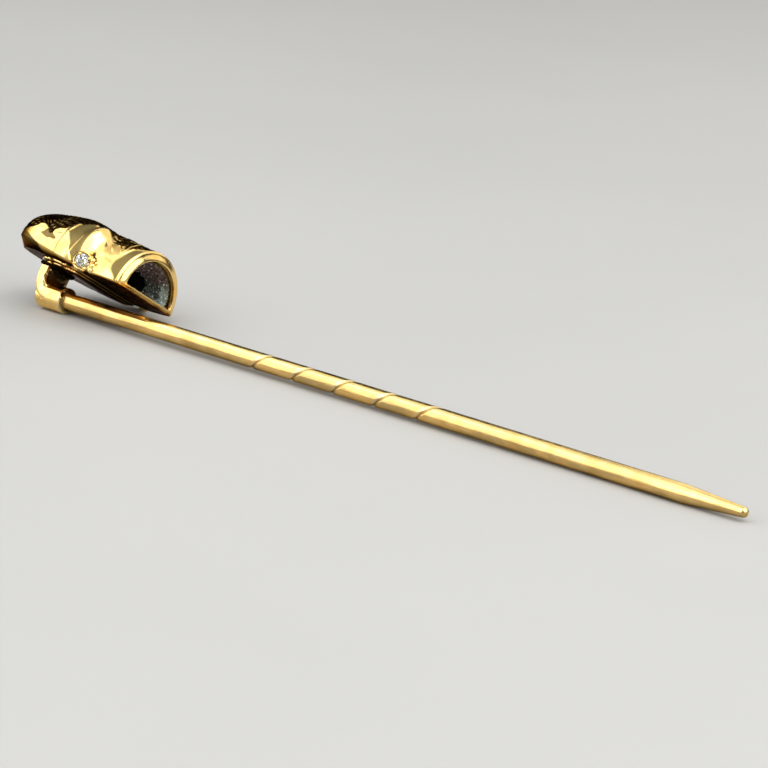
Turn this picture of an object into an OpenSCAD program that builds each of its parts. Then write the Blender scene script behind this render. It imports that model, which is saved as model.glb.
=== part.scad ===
// A gold stick pin: a hollow chased head, open at its lower end, on a plain round shaft.
// The pin is designed with X along the shaft towards the tip, Z towards the front of the
// head, and X = 0 at the mouth of the collar. It is then laid down as it lies by itself:
// on the collar, the shaft and the far edge of the head.

/* [Head] */
// Length of the head along the pin, from the open end to the crown
head_l = 12; // [11:0.1:15]
// Distance that the open end stands past the mouth of the collar
head_reach = 6.7; // [5:0.1:8]
// Width across the open end
mouth_w = 6.5; // [5.4:0.1:7.5]
// Height of the open end, from the flat back to the crest
mouth_h = 3.65; // [3.2:0.05:4.6]
// Width across the crown
crown_w = 9.3; // [8.4:0.1:11]
// Height of the crown above the flat back
crown_h = 4.55; // [4.2:0.05:5.4]
// Thickness of the chased wall
wall = 0.5; // [0.35:0.05:0.7]
// Thickness of the lip round the open end
lip = 0.8; // [0.6:0.05:1]
// Thickness of the flat back
back_t = 0.35; // [0.25:0.05:0.5]
// Height from the shaft's axis to the flat back
back_gap = 1.83; // [1.5:0.05:2.6]
// Sideways offset of the head from the shaft
side_shift = 0.6; // [0:0.05:0.8]
// Rise of the flat back at the end of the crown
back_rise = 0.7; // [0:0.05:1]
// Height of the widest line above the back, at the end of the crown
edge_rise = 0.6; // [0.2:0.05:0.9]
// Width of the small bevel along the edge of the back
edge_bevel = 0.12; // [0.08:0.01:0.2]
// Length of the rounded end of the crown
crown_round = 3; // [2:0.1:4]

/* [Chasing] */
// Height of the two brows above the skin
brow_h = 0.2; // [0.1:0.05:0.45]
// Half width of a brow, over which it fades out
brow_r = 0.8; // [0.6:0.05:1.2]
// Half length of a brow, over which it fades out
brow_l = 1.6; // [1.2:0.1:2]
// Depth of the fold behind the brows
fold_depth = 0.2; // [0.05:0.05:0.3]
// Half width of the fold
fold_w = 0.45; // [0.3:0.05:0.7]

/* [Back plate] */
// Thickness of the plate soldered on the back
plate_t = 0.3; // [0.2:0.02:0.4]
// Width of the step round its lower half
plate_step = 0.5; // [0.3:0.05:0.8]

/* [Stones] */
// Diameter of the stones at the girdle
stone_d = 1.1; // [0.9:0.05:1.3]
// Height of the stones above the flat back, to their middle
stone_up = 0.68; // [0.65:0.02:0.9]
// Turn of the stones from straight sideways towards the open end
stone_turn = 38; // [20:1:50]
// Clearance between a stone and its seat
stone_gap = 0.02; // [0.01:0.01:0.04]
// Thickness of the collet's wall round a stone
collet_t = 0.16; // [0.1:0.01:0.25]

/* [Neck and collar] */
// Width of the neck strip
neck_w = 2.6; // [2.2:0.1:3.2]
// Thickness of the neck strip
neck_t = 0.95; // [0.6:0.05:1.1]
// Outer diameter of the collar
collar_d = 1.96; // [1.8:0.02:2.4]
// Length of the collar
collar_l = 2.8; // [2.6:0.05:4]
// Bevel round the closed end of the collar
collar_bevel = 0.3; // [0.1:0.05:0.5]
// Depth of the socket that holds the shaft's tang
socket_depth = 2.1; // [1.5:0.1:2.4]
// Diameter of the tang, which is turned down at the end of the shaft
tang_d = 0.9; // [0.7:0.02:1]
// Clearance between the tang and its socket
socket_gap = 0.02; // [0.01:0.01:0.04]

/* [Shaft] */
// Diameter of the shaft
shaft_d = 1.3; // [1.1:0.02:1.5]
// Length of the shaft beyond the collar
shaft_l = 62; // [50:1:70]
// Length of the taper at the tip
taper_l = 5; // [3:0.5:8]
// Diameter at the blunt tip
tip_d = 0.72; // [0.5:0.02:0.9]
// Distance from the collar to the start of the spiral groove
groove_start = 18.4; // [12:0.1:24]
// Advance of the groove in one turn
groove_pitch = 3.85; // [3:0.05:5]
// Number of turns of the groove
groove_turns = 5; // [3:1:6]
// Depth of the groove
groove_depth = 0.1; // [0.05:0.01:0.15]
// Width of the groove at the surface
groove_w = 0.4; // [0.2:0.05:0.6]

/* [Hidden] */
$fn = 48;
gold = [0.83, 0.64, 0.32];
shaft_gold = [0.86, 0.69, 0.34];
diamond = [0.86, 0.92, 0.95];
collar_r = collar_d / 2;
shaft_r = shaft_d / 2;
tip_r = tip_d / 2;
// Overlap of soldered pieces, and the reach of a cutter past the face that it cuts
sink = 0.15;
past = 1;

// The sections of the head, from the open end to the crown, as shares of the named sizes.
// PLACE is along head_l. BROAD goes from mouth_w at 0 to crown_w at 1, and TALL from
// mouth_h at 0 to crown_h at 1. LIFT is a share of back_rise and EDGE of edge_rise.
// FLAT is the flat back's share of the width, and FULL is how square the arch is.
PLACE = 0;
BROAD = 1;
TALL = 2;
LIFT = 3;
EDGE = 4;
FLAT = 5;
FULL = 6;
SECTIONS = [
    [0.000, 0.00, 0.00, 0.00, 0.00, 0.97, 2.0],
    [0.090, 0.20, 0.13, 0.00, 0.00, 0.97, 2.1],
    [0.175, 0.31, 0.24, 0.00, 0.00, 0.96, 2.2],
    [0.255, 0.33, 0.36, 0.00, 0.00, 0.95, 2.2],
    [0.295, 0.62, 0.41, 0.10, 0.03, 0.88, 2.3],
    [0.335, 1.08, 0.42, 0.20, 0.05, 0.82, 2.5],
    [0.390, 1.26, 0.44, 0.25, 0.08, 0.80, 2.6],
    [0.445, 1.22, 0.58, 0.30, 0.15, 0.80, 2.6],
    [0.495, 1.15, 0.78, 0.38, 0.22, 0.80, 2.5],
    [0.580, 1.01, 0.96, 0.50, 0.40, 0.80, 2.4],
    [0.775, 1.00, 0.68, 0.75, 0.75, 0.80, 2.4],
    [0.875, 1.00, 0.32, 0.85, 0.85, 0.80, 2.4],
    [1.000, 1.00, 0.00, 1.00, 1.00, 0.80, 2.3],
];
LAST = len(SECTIONS) - 1;

// Row of the table that a place falls in
function row(at, i = 0) = i >= LAST - 1 || at < SECTIONS[i + 1][PLACE] ? i : row(at, i + 1);
// Slope of a column at a row, from the rows on both sides
function slope(i, column) =
    let (a = SECTIONS[max(i - 1, 0)], b = SECTIONS[min(i + 1, LAST)])
    (b[column] - a[column]) / (b[PLACE] - a[PLACE]);
// Value of a column at a place, on a smooth curve through the rows
function share(at, column) =
    let (i = row(at), a = SECTIONS[i], b = SECTIONS[i + 1], h = b[PLACE] - a[PLACE])
    let (t = (at - a[PLACE]) / h)
    a[column] * (2 * t^3 - 3 * t^2 + 1) + b[column] * (3 * t^2 - 2 * t^3)
    + h * slope(i, column) * (t^3 - 2 * t^2 + t) + h * slope(i + 1, column) * (t^3 - t^2);
function mix(a, b, t) = a + (b - a) * t;

// Rounding of the crown's end in plan: 1 before it starts, 0 at the very end, on the curve
// of a superellipse
round_start = head_l - crown_round;
plan_power = 2.2;
function plan_round(s) =
    s <= round_start ? 1 : (1 - ((s - round_start) / crown_round)^plan_power)^(1 / plan_power);
// Rounding of the crown's end in height, over its last part, down to the share top_left
top_round = 0.55 * crown_round;
top_power = 2.4;
top_left = 0.3;
function top_rounding(s) =
    let (t = max(0, (s - head_l + top_round) / top_round))
    mix(top_left, 1, (1 - min(t, 1)^top_power)^(1 / top_power));

// Sizes of the section at a distance s from the open end
function half_w(s) = mix(mouth_w, crown_w, share(s / head_l, BROAD)) / 2 * plan_round(s);
function back_z(s) = back_gap + back_rise * share(s / head_l, LIFT);
function edge_z(s) = back_z(s) + edge_bevel + edge_rise * share(s / head_l, EDGE);
function crest_full(s) = back_gap + mix(mouth_h, crown_h, share(s / head_l, TALL));
function crest_z(s) = edge_z(s) + (crest_full(s) - edge_z(s)) * top_rounding(s);
function flat_w(s) = half_w(s) * share(s / head_l, FLAT);

// Distance from the middle of the arch to its skin, towards the angle a
function arch_r(a, w, h, full) =
    (pow(abs(cos(a)) / w, full) + pow(abs(sin(a)) / h, full))^(-1 / full);

// Chased relief on the skin: two long brows that slant back from edge to crest, and a fold
// behind them. Places are shares of head_l, and brow_turn is the angle of a brow's middle
// above the edge.
brow_low = 0.195;
brow_high = 0.455;
brow_turn = 42;
fold_low = 0.335;
fold_high = 0.45;
function bell(x) = exp(-x * x);
function side_turn(a) = min(a, 180 - a);
function relief(s, a, w) =
    let (up = sin(side_turn(a)), near = (side_turn(a) - brow_turn) * w * PI / 180)
    let (along = s - head_l * mix(brow_low, brow_high, up * up))
    let (brow = brow_h * bell(along / brow_r) * bell(near / brow_l))
    brow - fold_depth * bell((s - head_l * mix(fold_low, fold_high, up)) / fold_w);

// One closed section: the arch from the near edge to the far edge, then the back.
// inset moves the arch inwards and lift raises the back, for the inner face of the wall,
// which is plain.
arch_steps = 32;
back_steps = 6;
ring_n = arch_steps + 1 + back_steps;
function arch_point(s, a, inset, lift) =
    let (w = half_w(s) - inset, low = edge_z(s) + lift, h = crest_z(s) - inset - low)
    let (r = arch_r(a, w, h, share(s / head_l, FULL)) + (inset > 0 ? 0 : relief(s, a, w)))
    [-r * cos(a), low + r * sin(a)];
function ring(s, inset = 0, lift = 0) =
    let (low = back_z(s) + lift, w = flat_w(s) - inset)
    [
        for (i = [0:arch_steps])
            let (p = arch_point(s, 180 * i / arch_steps, inset, lift))
            [head_reach - s, side_shift + p.x, p.y],
        for (i = [1:back_steps])
            let (t = 1 - 2 * (i - 1) / (back_steps - 1))
            [head_reach - s, side_shift + w * t, low],
    ];

// Places of the rings along the outer skin and along the inner face. The rings of the
// rounded end are spaced by an angle, and the last one stops short of the point of it.
skin_step = 0.3;
skin_n = ceil(round_start / skin_step);
end_n = 9;
end_turn = 87.5;
lip_round = 0.2;
SKIN_AT = concat(
    [for (i = [1:skin_n]) mix(lip_round, round_start, (i - 0.5) / (skin_n - 0.5))],
    [for (i = [1:end_n]) round_start + crown_round * sin(end_turn * i / end_n)]
);
inner_start = 1.5 * lip;
inner_end = round_start + 0.55 * crown_round;
inner_n = 12;
INNER_AT = [for (i = [0:inner_n]) mix(inner_start, inner_end, i / inner_n)];

// The rings of the whole shell: from the crown's end along the skin to the lip, round the
// lip and along the inner face to the blind end of the hollow
corner = 0.3;
SHELL = concat(
    [for (i = [len(SKIN_AT) - 1:-1:0]) ring(SKIN_AT[i])],
    [
        ring(corner * lip_round, corner * lip_round, 0.1 * back_t),
        ring(0, lip_round, corner * back_t),
        ring(0, lip - lip_round, (1 - corner) * back_t),
        ring(corner * lip_round, lip - corner * lip_round, 0.9 * back_t),
        ring(lip_round, lip, back_t),
    ],
    [for (s = INNER_AT) ring(s, wall, back_t)]
);
SHELL_POINTS = [for (r = SHELL) each r];
function middle(points) =
    [for (c = [0:2]) (min([for (p = points) p[c]]) + max([for (p = points) p[c]])) / 2];

module shell() {
    rings = len(SHELL);
    end_middle = rings * ring_n;
    function next(i) = (i + 1) % ring_n;
    polyhedron(
        points = concat(SHELL_POINTS, [middle(SHELL[0]), middle(SHELL[rings - 1])]),
        faces = concat(
            [for (i = [0:ring_n - 1]) [next(i), i, end_middle]],
            [
                for (j = [0:rings - 2])
                    for (i = [0:ring_n - 1])
                        let (a = j * ring_n + i, b = j * ring_n + next(i))
                        each [[a, b, b + ring_n], [a, b + ring_n, a + ring_n]]
            ],
            [
                for (i = [0:ring_n - 1])
                    let (last = (rings - 1) * ring_n)
                    [last + i, last + next(i), end_middle + 1]
            ]
        )
    );
}

// The plate soldered on the back of the crown, which the neck strip stands on. Its outline
// is half of a symmetric shape: shares of head_l, and of half of crown_w.
ALONG = 0;
OUT = 1;
PLATE = [[0.35, 0.70], [0.41, 0.83], [0.57, 0.82], [0.70, 0.66], [0.83, 0.36]];
module plate_layer(top, thick, inset) {
    s0 = PLATE[0][ALONG] * head_l;
    s1 = PLATE[len(PLATE) - 1][ALONG] * head_l;
    half = [for (p = PLATE) [head_reach - p[ALONG] * head_l, p[OUT] * crown_w / 2]];
    z0 = back_z(s0) - top;
    z1 = back_z(s1) - top;
    intersection() {
        rotate([90, 0, 0])
        linear_extrude(2 * crown_w, center = true)
        polygon([
            [head_reach - s0, z0 - thick], [head_reach - s0, z0 + sink],
            [head_reach - s1, z1 + sink], [head_reach - s1, z1 - thick],
        ]);
        linear_extrude(3 * crown_h)
        polygon(concat(
            [for (p = half) [p.x - inset / 2, p.y - inset]],
            [for (i = [len(half) - 1:-1:0]) [half[i].x - inset / 2, inset - half[i].y]]
        ));
    }
}
module back_plate() {
    translate([0, side_shift, 0]) {
        plate_layer(0, plate_t / 2, 0);
        plate_layer(plate_t / 2, plate_t / 2, plate_step);
    }
}

// The neck: a strip that rises from the far end of the collar to the back plate. In
// profile it has the collar's bevel at the foot, leans back a little above it, and has a
// fillet where it leaves the collar; seen along the pin it is the collar's own round below,
// and as wide as the strip above.
neck_lean = 0.15;
neck_foot = 0.45 * collar_l;
neck_step = 0.25 * collar_r;
module neck() {
    top = back_z(head_reach + collar_l) - plate_t + sink;
    outer = -collar_l;
    inner = outer + neck_t;
    intersection() {
        rotate([90, 0, 0])
        linear_extrude(2 * neck_w, center = true)
        polygon([
            [outer + collar_bevel, -collar_r], [outer, collar_bevel - collar_r],
            [outer, 0], [outer - neck_lean, collar_r], [outer - neck_lean, top],
            [inner - neck_lean, top], [inner - neck_lean, collar_r],
            [-neck_foot, 0.75 * collar_r], [-neck_foot, -collar_r],
        ]);
        rotate([90, 0, 90])
        linear_extrude(4 * collar_l, center = true)
        union() {
            circle(collar_r);
            translate([-neck_w / 2, neck_step])
            square([neck_w, top]);
        }
    }
}

module collar() {
    rotate([0, -90, 0])
    union() {
        cylinder(r = collar_r, h = collar_l - collar_bevel);
        translate([0, 0, collar_l - collar_bevel])
        cylinder(r1 = collar_r, r2 = collar_r - collar_bevel, h = collar_bevel);
    }
}

module socket() {
    translate([past, 0, 0])
    rotate([0, -90, 0])
    cylinder(r = tang_d / 2 + socket_gap, h = socket_depth + past);
}

// Where a stone sits: the middle of its girdle, on the slanted face before the cheek, and
// how far it is sunk below the skin there
stone_place = 0.295;
stone_sink = 0.2 * stone_d;
stone_s = stone_place * head_l;
function stone_y() =
    let (w = half_w(stone_s), full = share(stone_place, FULL))
    let (h = crest_z(stone_s) - edge_z(stone_s))
    w * (1 - (stone_up / h)^full)^(1 / full);
stone_mid = [head_reach - stone_s, stone_y(), back_gap + stone_up];

// Puts its children on the near (-1) or far (1) side, with Z pointing out of the seat
module at_stone(side) {
    translate([stone_mid.x, side_shift + side * stone_mid.y, stone_mid.z])
    rotate([0, 0, side * (90 - stone_turn)])
    rotate([0, 90, 0])
    translate([0, 0, -stone_sink])
    children();
}

// Proportions of the cut, and of the collet with its seat and the hole behind the stone
stone_r = stone_d / 2;
girdle = 0.05 * stone_d;
crown_up = 0.16 * stone_d;
pavilion = 0.42 * stone_d;
table_share = 0.58;
collet_r = stone_r + stone_gap + collet_t;
collet_deep = 0.75 * stone_d;
ledge_r = 0.72 * stone_r;
collet_up = girdle + 0.6 * stone_sink;
module collet() {
    translate([0, 0, -collet_deep])
    cylinder(r = collet_r, h = collet_deep + collet_up);
}
// Both collets, cut off just above the flat back
trim = 0.02;
module collets() {
    intersection() {
        for (side = [-1, 1]) at_stone(side) collet();
        translate([-head_l, -crown_w, back_gap + trim])
        cube([3 * head_l, 2 * crown_w, crown_h]);
    }
}

module seat() {
    translate([0, 0, -stone_gap])
    cylinder(r = stone_r + stone_gap, h = past);
    translate([0, 0, -collet_deep - past])
    cylinder(r = ledge_r, h = collet_deep + 2 * past);
}

// A round brilliant: table, crown, thin girdle and pavilion, with eight-fold facets
module brilliant() {
    cut = 8;
    turn = 180 / cut;
    function loop(r, z, shift) =
        [for (i = [0:cut - 1]) [r * cos(2 * turn * i + shift), r * sin(2 * turn * i + shift), z]];
    points = concat(
        loop(table_share * stone_r, girdle + crown_up, 0),
        loop(stone_r, girdle, turn),
        loop(stone_r, 0, turn),
        [[0, 0, -pavilion]]
    );
    polyhedron(
        points = points,
        faces = concat(
            [[for (i = [cut - 1:-1:0]) i]],
            [
                for (i = [0:cut - 1])
                    let (n = (i + 1) % cut)
                    each [[i, n, cut + i], [cut + i, n, cut + n]]
            ],
            [for (i = [0:cut - 1]) [cut + i, cut + (i + 1) % cut, 2 * cut + (i + 1) % cut, 2 * cut + i]],
            [for (i = [0:cut - 1]) [2 * cut + i, 2 * cut + (i + 1) % cut, 3 * cut]]
        )
    );
}

// How the pin lies. The floor touches the collar's mouth and the start of the taper, and
// the pin rolls to the far side until the first point of the head's skin meets the floor.
lie_pitch = atan((collar_r - shaft_r) / (shaft_l - taper_l));
FAR = [for (p = SHELL_POINTS) if (p.y > 2 * collar_r && p.z < back_gap + crown_h / 2) p];
lie_roll = min([
    for (p = FAR)
        atan2(p.z, p.y) + asin((collar_r - p.x * tan(lie_pitch)) / norm([p.y, p.z]))
]);
function laid(p) =
    let (y = p.y * cos(lie_roll) + p.z * sin(lie_roll))
    let (z = p.z * cos(lie_roll) - p.y * sin(lie_roll))
    [p.x * cos(lie_pitch) + z * sin(lie_pitch), y, z * cos(lie_pitch) - p.x * sin(lie_pitch)];
LAID = [for (p = SHELL_POINTS) laid(p)];
low_x = min([for (p = LAID) p.x]);
high_x = laid([shaft_l, 0, 0]).x;
low_y = min(-collar_r, min([for (p = LAID) p.y]));
high_y = max([for (p = LAID) p.y]);
lift_z = collar_r * cos(lie_pitch);

module lay_down() {
    translate([-(low_x + high_x) / 2, -(low_y + high_y) / 2, lift_z])
    rotate([0, lie_pitch, 0])
    rotate([-lie_roll, 0, 0])
    children();
}

module head() {
    color(gold)
    lay_down()
    difference() {
        union() {
            shell();
            back_plate();
            neck();
            collar();
            collets();
        }
        socket();
        for (side = [-1, 1]) at_stone(side) seat();
    }
}

// The cutter of the spiral groove: a thin left-handed wedge wound round the shaft, steep
// on the side towards the head. It reaches out past the surface.
steep = 0.4;
module groove() {
    steps = 20;
    count = steps * groove_turns;
    out = shaft_r + 2 * groove_depth;
    floor_r = shaft_r - groove_depth;
    function wedge(i) =
        let (a = -360 * i / steps, x = groove_start + groove_pitch * i / steps)
        let (slant = groove_w * (out - floor_r) / groove_depth / 2)
        [
            [x, floor_r * cos(a), floor_r * sin(a)],
            [x - steep * slant, out * cos(a), out * sin(a)],
            [x + slant, out * cos(a), out * sin(a)],
        ];
    polyhedron(
        points = [for (i = [0:count]) each wedge(i)],
        faces = concat(
            [[0, 1, 2]],
            [
                for (i = [0:count - 1])
                    for (k = [0:2])
                        let (a = 3 * i + k, b = 3 * i + (k + 1) % 3)
                        each [[a, a + 3, b], [b, a + 3, b + 3]]
            ],
            [[3 * count + 2, 3 * count + 1, 3 * count]]
        )
    );
}

module shaft() {
    color(shaft_gold)
    lay_down()
    difference() {
        rotate([0, 90, 0])
        union() {
            translate([0, 0, socket_gap - socket_depth])
            cylinder(r = tang_d / 2, h = socket_depth);
            translate([0, 0, socket_gap])
            cylinder(r = shaft_r, h = shaft_l - taper_l - socket_gap);
            translate([0, 0, shaft_l - taper_l])
            cylinder(r1 = shaft_r, r2 = tip_r, h = taper_l - tip_r);
            translate([0, 0, shaft_l - tip_r])
            sphere(r = tip_r);
        }
        groove();
    }
}

module near_stone() {
    color(diamond)
    lay_down()
    at_stone(-1)
    brilliant();
}

module far_stone() {
    color(diamond)
    lay_down()
    at_stone(1)
    brilliant();
}

head();
shaft();
near_stone();
far_stone();
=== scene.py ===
# %% [markdown]
# # A gold stick pin, dressed on its measured frame
#
# The pin is a hollow chased head, open at its lower end, on a plain round shaft. A neck
# strip and a collar join them, and a small brilliant sits low on each side of the head.
# The measured solids of a CAD model are loaded first, as a frame that nothing moves. Each
# piece below is then made as a fine mesh on that frame, in the same place.
#
# Every shape here is a surface with two parameters, worked out with numpy as whole arrays.
# Sculpting would be quicker for one view, but a formula keeps each chased line where it is
# measured, and the same line can steer both the shape and the colour of the gold.

# %% Load the frame
import itertools
import math

import bpy
import numpy as np
from mathutils import Matrix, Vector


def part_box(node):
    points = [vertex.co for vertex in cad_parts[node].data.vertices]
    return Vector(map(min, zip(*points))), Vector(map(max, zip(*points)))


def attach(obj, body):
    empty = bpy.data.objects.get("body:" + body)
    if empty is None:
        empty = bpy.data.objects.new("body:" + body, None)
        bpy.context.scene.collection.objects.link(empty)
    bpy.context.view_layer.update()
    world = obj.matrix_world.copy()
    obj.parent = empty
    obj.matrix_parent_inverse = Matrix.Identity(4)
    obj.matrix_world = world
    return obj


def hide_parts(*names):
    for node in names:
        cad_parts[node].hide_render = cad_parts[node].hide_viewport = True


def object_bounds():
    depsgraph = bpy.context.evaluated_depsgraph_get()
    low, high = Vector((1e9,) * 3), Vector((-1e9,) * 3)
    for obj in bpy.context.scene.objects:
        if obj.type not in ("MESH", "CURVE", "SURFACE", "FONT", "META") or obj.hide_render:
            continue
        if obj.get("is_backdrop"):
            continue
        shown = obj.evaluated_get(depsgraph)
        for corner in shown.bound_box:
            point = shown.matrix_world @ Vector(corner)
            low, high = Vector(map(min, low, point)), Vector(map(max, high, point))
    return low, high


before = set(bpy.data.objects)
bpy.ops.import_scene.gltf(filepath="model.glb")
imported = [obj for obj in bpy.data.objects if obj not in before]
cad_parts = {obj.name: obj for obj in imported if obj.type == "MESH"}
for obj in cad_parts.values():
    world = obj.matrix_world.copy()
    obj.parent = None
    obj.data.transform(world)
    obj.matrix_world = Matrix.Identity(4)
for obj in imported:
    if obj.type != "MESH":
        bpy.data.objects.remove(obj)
cad_bounds = [[float(v) for v in corner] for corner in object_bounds()]
print("CAD box in metres:", cad_bounds)

# %% [markdown]
# ## The pin's own axes
#
# A goldsmith measures a pin along its shaft and across its head, but the pin lies tilted on
# the floor. So each piece is worked out in millimetres in the pin's own axes: X along the
# shaft to the tip from the mouth of the collar, Y across, and Z to the front of the head.
# One function then turns and lays it down. The turn comes from the frame itself: the two
# stones are a pair, so the line between them shows how far the pin has rolled.

# %% Sizes that place the pin
MM = 0.001
COLLAR_R = 0.98
COLLAR_L = 2.8
SHAFT_R = 0.65
SHAFT_L = 62.0
TAPER_L = 5.0
TIP_R = 0.36
SIDE_SHIFT = 0.6


def middle_of(node):
    """Mean place of a node's vertices, in metres."""
    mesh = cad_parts[node].data
    places = np.empty(len(mesh.vertices) * 3, np.float32)
    mesh.vertices.foreach_get("co", places)
    return places.reshape(-1, 3).astype(float).mean(axis=0)


near_middle = middle_of("near_stone")
far_middle = middle_of("far_stone")
roll = math.atan2(near_middle[2] - far_middle[2], far_middle[1] - near_middle[1])
pitch = math.atan2(COLLAR_R - SHAFT_R, SHAFT_L - TAPER_L)
shaft_low, shaft_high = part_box("shaft")
stand = np.array([
    shaft_high[0] / MM - SHAFT_L * math.cos(pitch),
    (shaft_low[1] + shaft_high[1]) / MM / 2,
    COLLAR_R * math.cos(pitch),
])
print(f"roll {math.degrees(roll):.2f} and pitch {math.degrees(pitch):.2f} degrees, at {stand.round(3)} mm")


def laid(points):
    """Lays points down: roll about X, then pitch about Y, then the move to the pin's place.
    Takes millimetres in the pin's own axes and gives metres in the frame."""
    x, y, z = np.moveaxis(np.asarray(points, float), -1, 0)
    across = y * math.cos(roll) + z * math.sin(roll)
    front = z * math.cos(roll) - y * math.sin(roll)
    along = x * math.cos(pitch) + front * math.sin(pitch)
    height = front * math.cos(pitch) - x * math.sin(pitch)
    return (np.stack([along, across, height], axis=-1) + stand) * MM


# %% [markdown]
# ## From a grid of points to a mesh
#
# A surface worked out by numpy is a grid of points in rows and columns. Four neighbours
# make one face. Most pieces of a jewel are closed round one way, like a tube, so the last
# column joins the first, and each open end is closed by a fan of triangles round one point.
# A plane or a primitive from the menu could be edited instead, but then each ring has to be
# moved by hand. Named values can ride on the points too, as attributes, and the materials
# read them later.

# %% Mesh helpers
def tube_faces(rows, columns):
    """Faces of a grid closed round its columns, with a pole after the last row at each end.
    Rows run along the tube, and seen from outside the columns run clockwise about the way
    the rows go. The poles are the two points after the grid: first row's, last row's."""
    here = np.arange(columns)
    following = np.roll(here, -1)
    row = (np.arange(rows - 1) * columns)[:, None]
    corners = [row + here, row + following, row + columns + following, row + columns + here]
    quads = np.stack(corners, axis=-1)
    first, last = rows * columns, rows * columns + 1
    foot = np.stack([following, here, np.full(columns, first)], axis=-1)
    top_row = (rows - 1) * columns
    top = np.stack([top_row + here, top_row + following, np.full(columns, last)], axis=-1)
    return [quads.reshape(-1, 4), np.concatenate([foot, top])]


def tube(grid, values):
    """A closed tube from a grid of points (rows, columns, 3) and grids of named values."""
    rows, columns = grid.shape[:2]
    poles = np.stack([grid[0].mean(axis=0), grid[-1].mean(axis=0)])
    points = np.concatenate([grid.reshape(-1, 3), poles])
    named = {}
    for name, value in values.items():
        flat = value.reshape((-1,) + value.shape[2:])
        ends = np.stack([value[0].mean(axis=0), value[-1].mean(axis=0)])
        named[name] = np.concatenate([flat, ends])
    return points, tube_faces(rows, columns), named


def joined(parts):
    """Several closed shapes as one mesh: the points follow each other, and the faces too."""
    starts = np.cumsum([0] + [len(part[0]) for part in parts])
    points = np.concatenate([part[0] for part in parts])
    faces = [block + start for part, start in zip(parts, starts) for block in part[1]]
    names = parts[0][2].keys()
    values = {name: np.concatenate([part[2][name] for part in parts]) for name in names}
    return points, faces, values


def signed_volume(points, faces):
    """Volume enclosed by the faces, by fans of tetrahedra from the origin. It is above 0
    where the faces point outwards."""
    total = 0.0
    for block in faces:
        for k in range(1, block.shape[1] - 1):
            a, b, c = points[block[:, 0]], points[block[:, k]], points[block[:, k + 1]]
            total += np.einsum("ij,ij->", a, np.cross(b, c)) / 6
    return total


def make_piece(name, shape, replaces=(), smooth=True):
    """Puts a shape in a mesh object at the origin, with its faces outwards, on the pin."""
    points, faces, values = shape
    if signed_volume(points, faces) < 0:
        faces = [block[:, ::-1] for block in faces]
    mesh = bpy.data.meshes.new(name)
    mesh.from_pydata(laid(points).tolist(), [], [face for block in faces for face in block.tolist()])
    mesh.polygons.foreach_set("use_smooth", np.full(len(mesh.polygons), smooth))
    for value_name, value in values.items():
        kind = "FLOAT_VECTOR" if value.ndim == 2 else "FLOAT"
        field = "vector" if value.ndim == 2 else "value"
        attribute = mesh.attributes.new(value_name, kind, "POINT")
        attribute.data.foreach_set(field, value.astype(np.float32).ravel())
    mesh.update()
    piece = bpy.data.objects.new(name, mesh)
    bpy.context.scene.collection.objects.link(piece)
    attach(piece, "root")
    if replaces:
        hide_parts(*replaces)
    triangles = sum(len(polygon.vertices) - 2 for polygon in mesh.polygons)
    print(f"{name}: {triangles} triangles, {abs(signed_volume(points, faces)):.2f} cubic mm")
    return piece


# %% [markdown]
# ## Numbers that wander
#
# Worn metal is never even. Noise gives it lumps and wobble: random numbers stand on a
# lattice, and each point takes a smooth blend of the eight round it. Blender's Noise
# texture does the same inside a material, but here it has to move vertices, so it is
# written with numpy, from a fixed rule, and gives the same lumps in each run.

# %% Noise, curves and steps
# Large odd numbers that turn a place on the lattice into a number without a pattern
PLACE_MIX = np.array([73856093, 19349663, 83492791])
SEED_MIX, LAST_MIX = 2654435761, 1274126177


def noise(points, cell, seed):
    """Smooth random numbers from -1 to 1: values on a cubic lattice of the given cell size,
    each mixed from its three whole numbers and the seed, blended by 3t² - 2t³ on each axis."""
    place = np.asarray(points, float) / cell
    base = np.floor(place).astype(np.int64)
    part = place - base
    part = part * part * (3 - 2 * part)
    total = np.zeros(place.shape[:-1])
    for corner in itertools.product((0, 1), repeat=3):
        spread = (base + np.array(corner)) * PLACE_MIX
        mixed = np.bitwise_xor.reduce(spread, axis=-1) ^ (seed * SEED_MIX)
        mixed = (mixed ^ (mixed >> 13)) * LAST_MIX
        value = ((mixed ^ (mixed >> 16)) & 0xFFFF) / 32767.5 - 1
        share_here = np.where(np.array(corner) == 1, part, 1 - part).prod(axis=-1)
        total += share_here * value
    return total


def through(rows, at):
    """Smooth curve through a table whose first column is the place: cubic pieces that keep
    the value at each row and the slope between the rows on both sides of it."""
    rows = np.asarray(rows, float)
    place = rows[:, 0]
    last = len(rows) - 1
    row_before = rows[np.maximum(np.arange(last + 1) - 1, 0)]
    row_after = rows[np.minimum(np.arange(last + 1) + 1, last)]
    slopes = (row_after[:, 1:] - row_before[:, 1:]) / (row_after[:, :1] - row_before[:, :1])
    at = np.clip(np.asarray(at, float), place[0], place[-1])
    i = np.clip(np.searchsorted(place, at, side="right") - 1, 0, last - 1)
    width = (place[i + 1] - place[i])[..., None]
    t = (at[..., None] - place[i][..., None]) / width
    start = rows[i, 1:] * (2 * t**3 - 3 * t**2 + 1) + slopes[i] * width * (t**3 - 2 * t**2 + t)
    return start + rows[i + 1, 1:] * (3 * t**2 - 2 * t**3) + slopes[i + 1] * width * (t**3 - t**2)


def bell(x):
    """A bump of height 1 and about 1 wide on each side: e to the power of -x²."""
    return np.exp(-np.square(x))


def step(x, low, high):
    """0 below low, 1 above high, and 3t² - 2t³ between them."""
    t = np.clip((x - low) / (high - low), 0, 1)
    return t * t * (3 - 2 * t)


def between(x, low, high, soft_low, soft_high):
    """1 between low and high, falling to 0 at both, over a soft width inside each."""
    return step(x, low, low + soft_low) * step(high - x, 0, soft_high)


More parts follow.
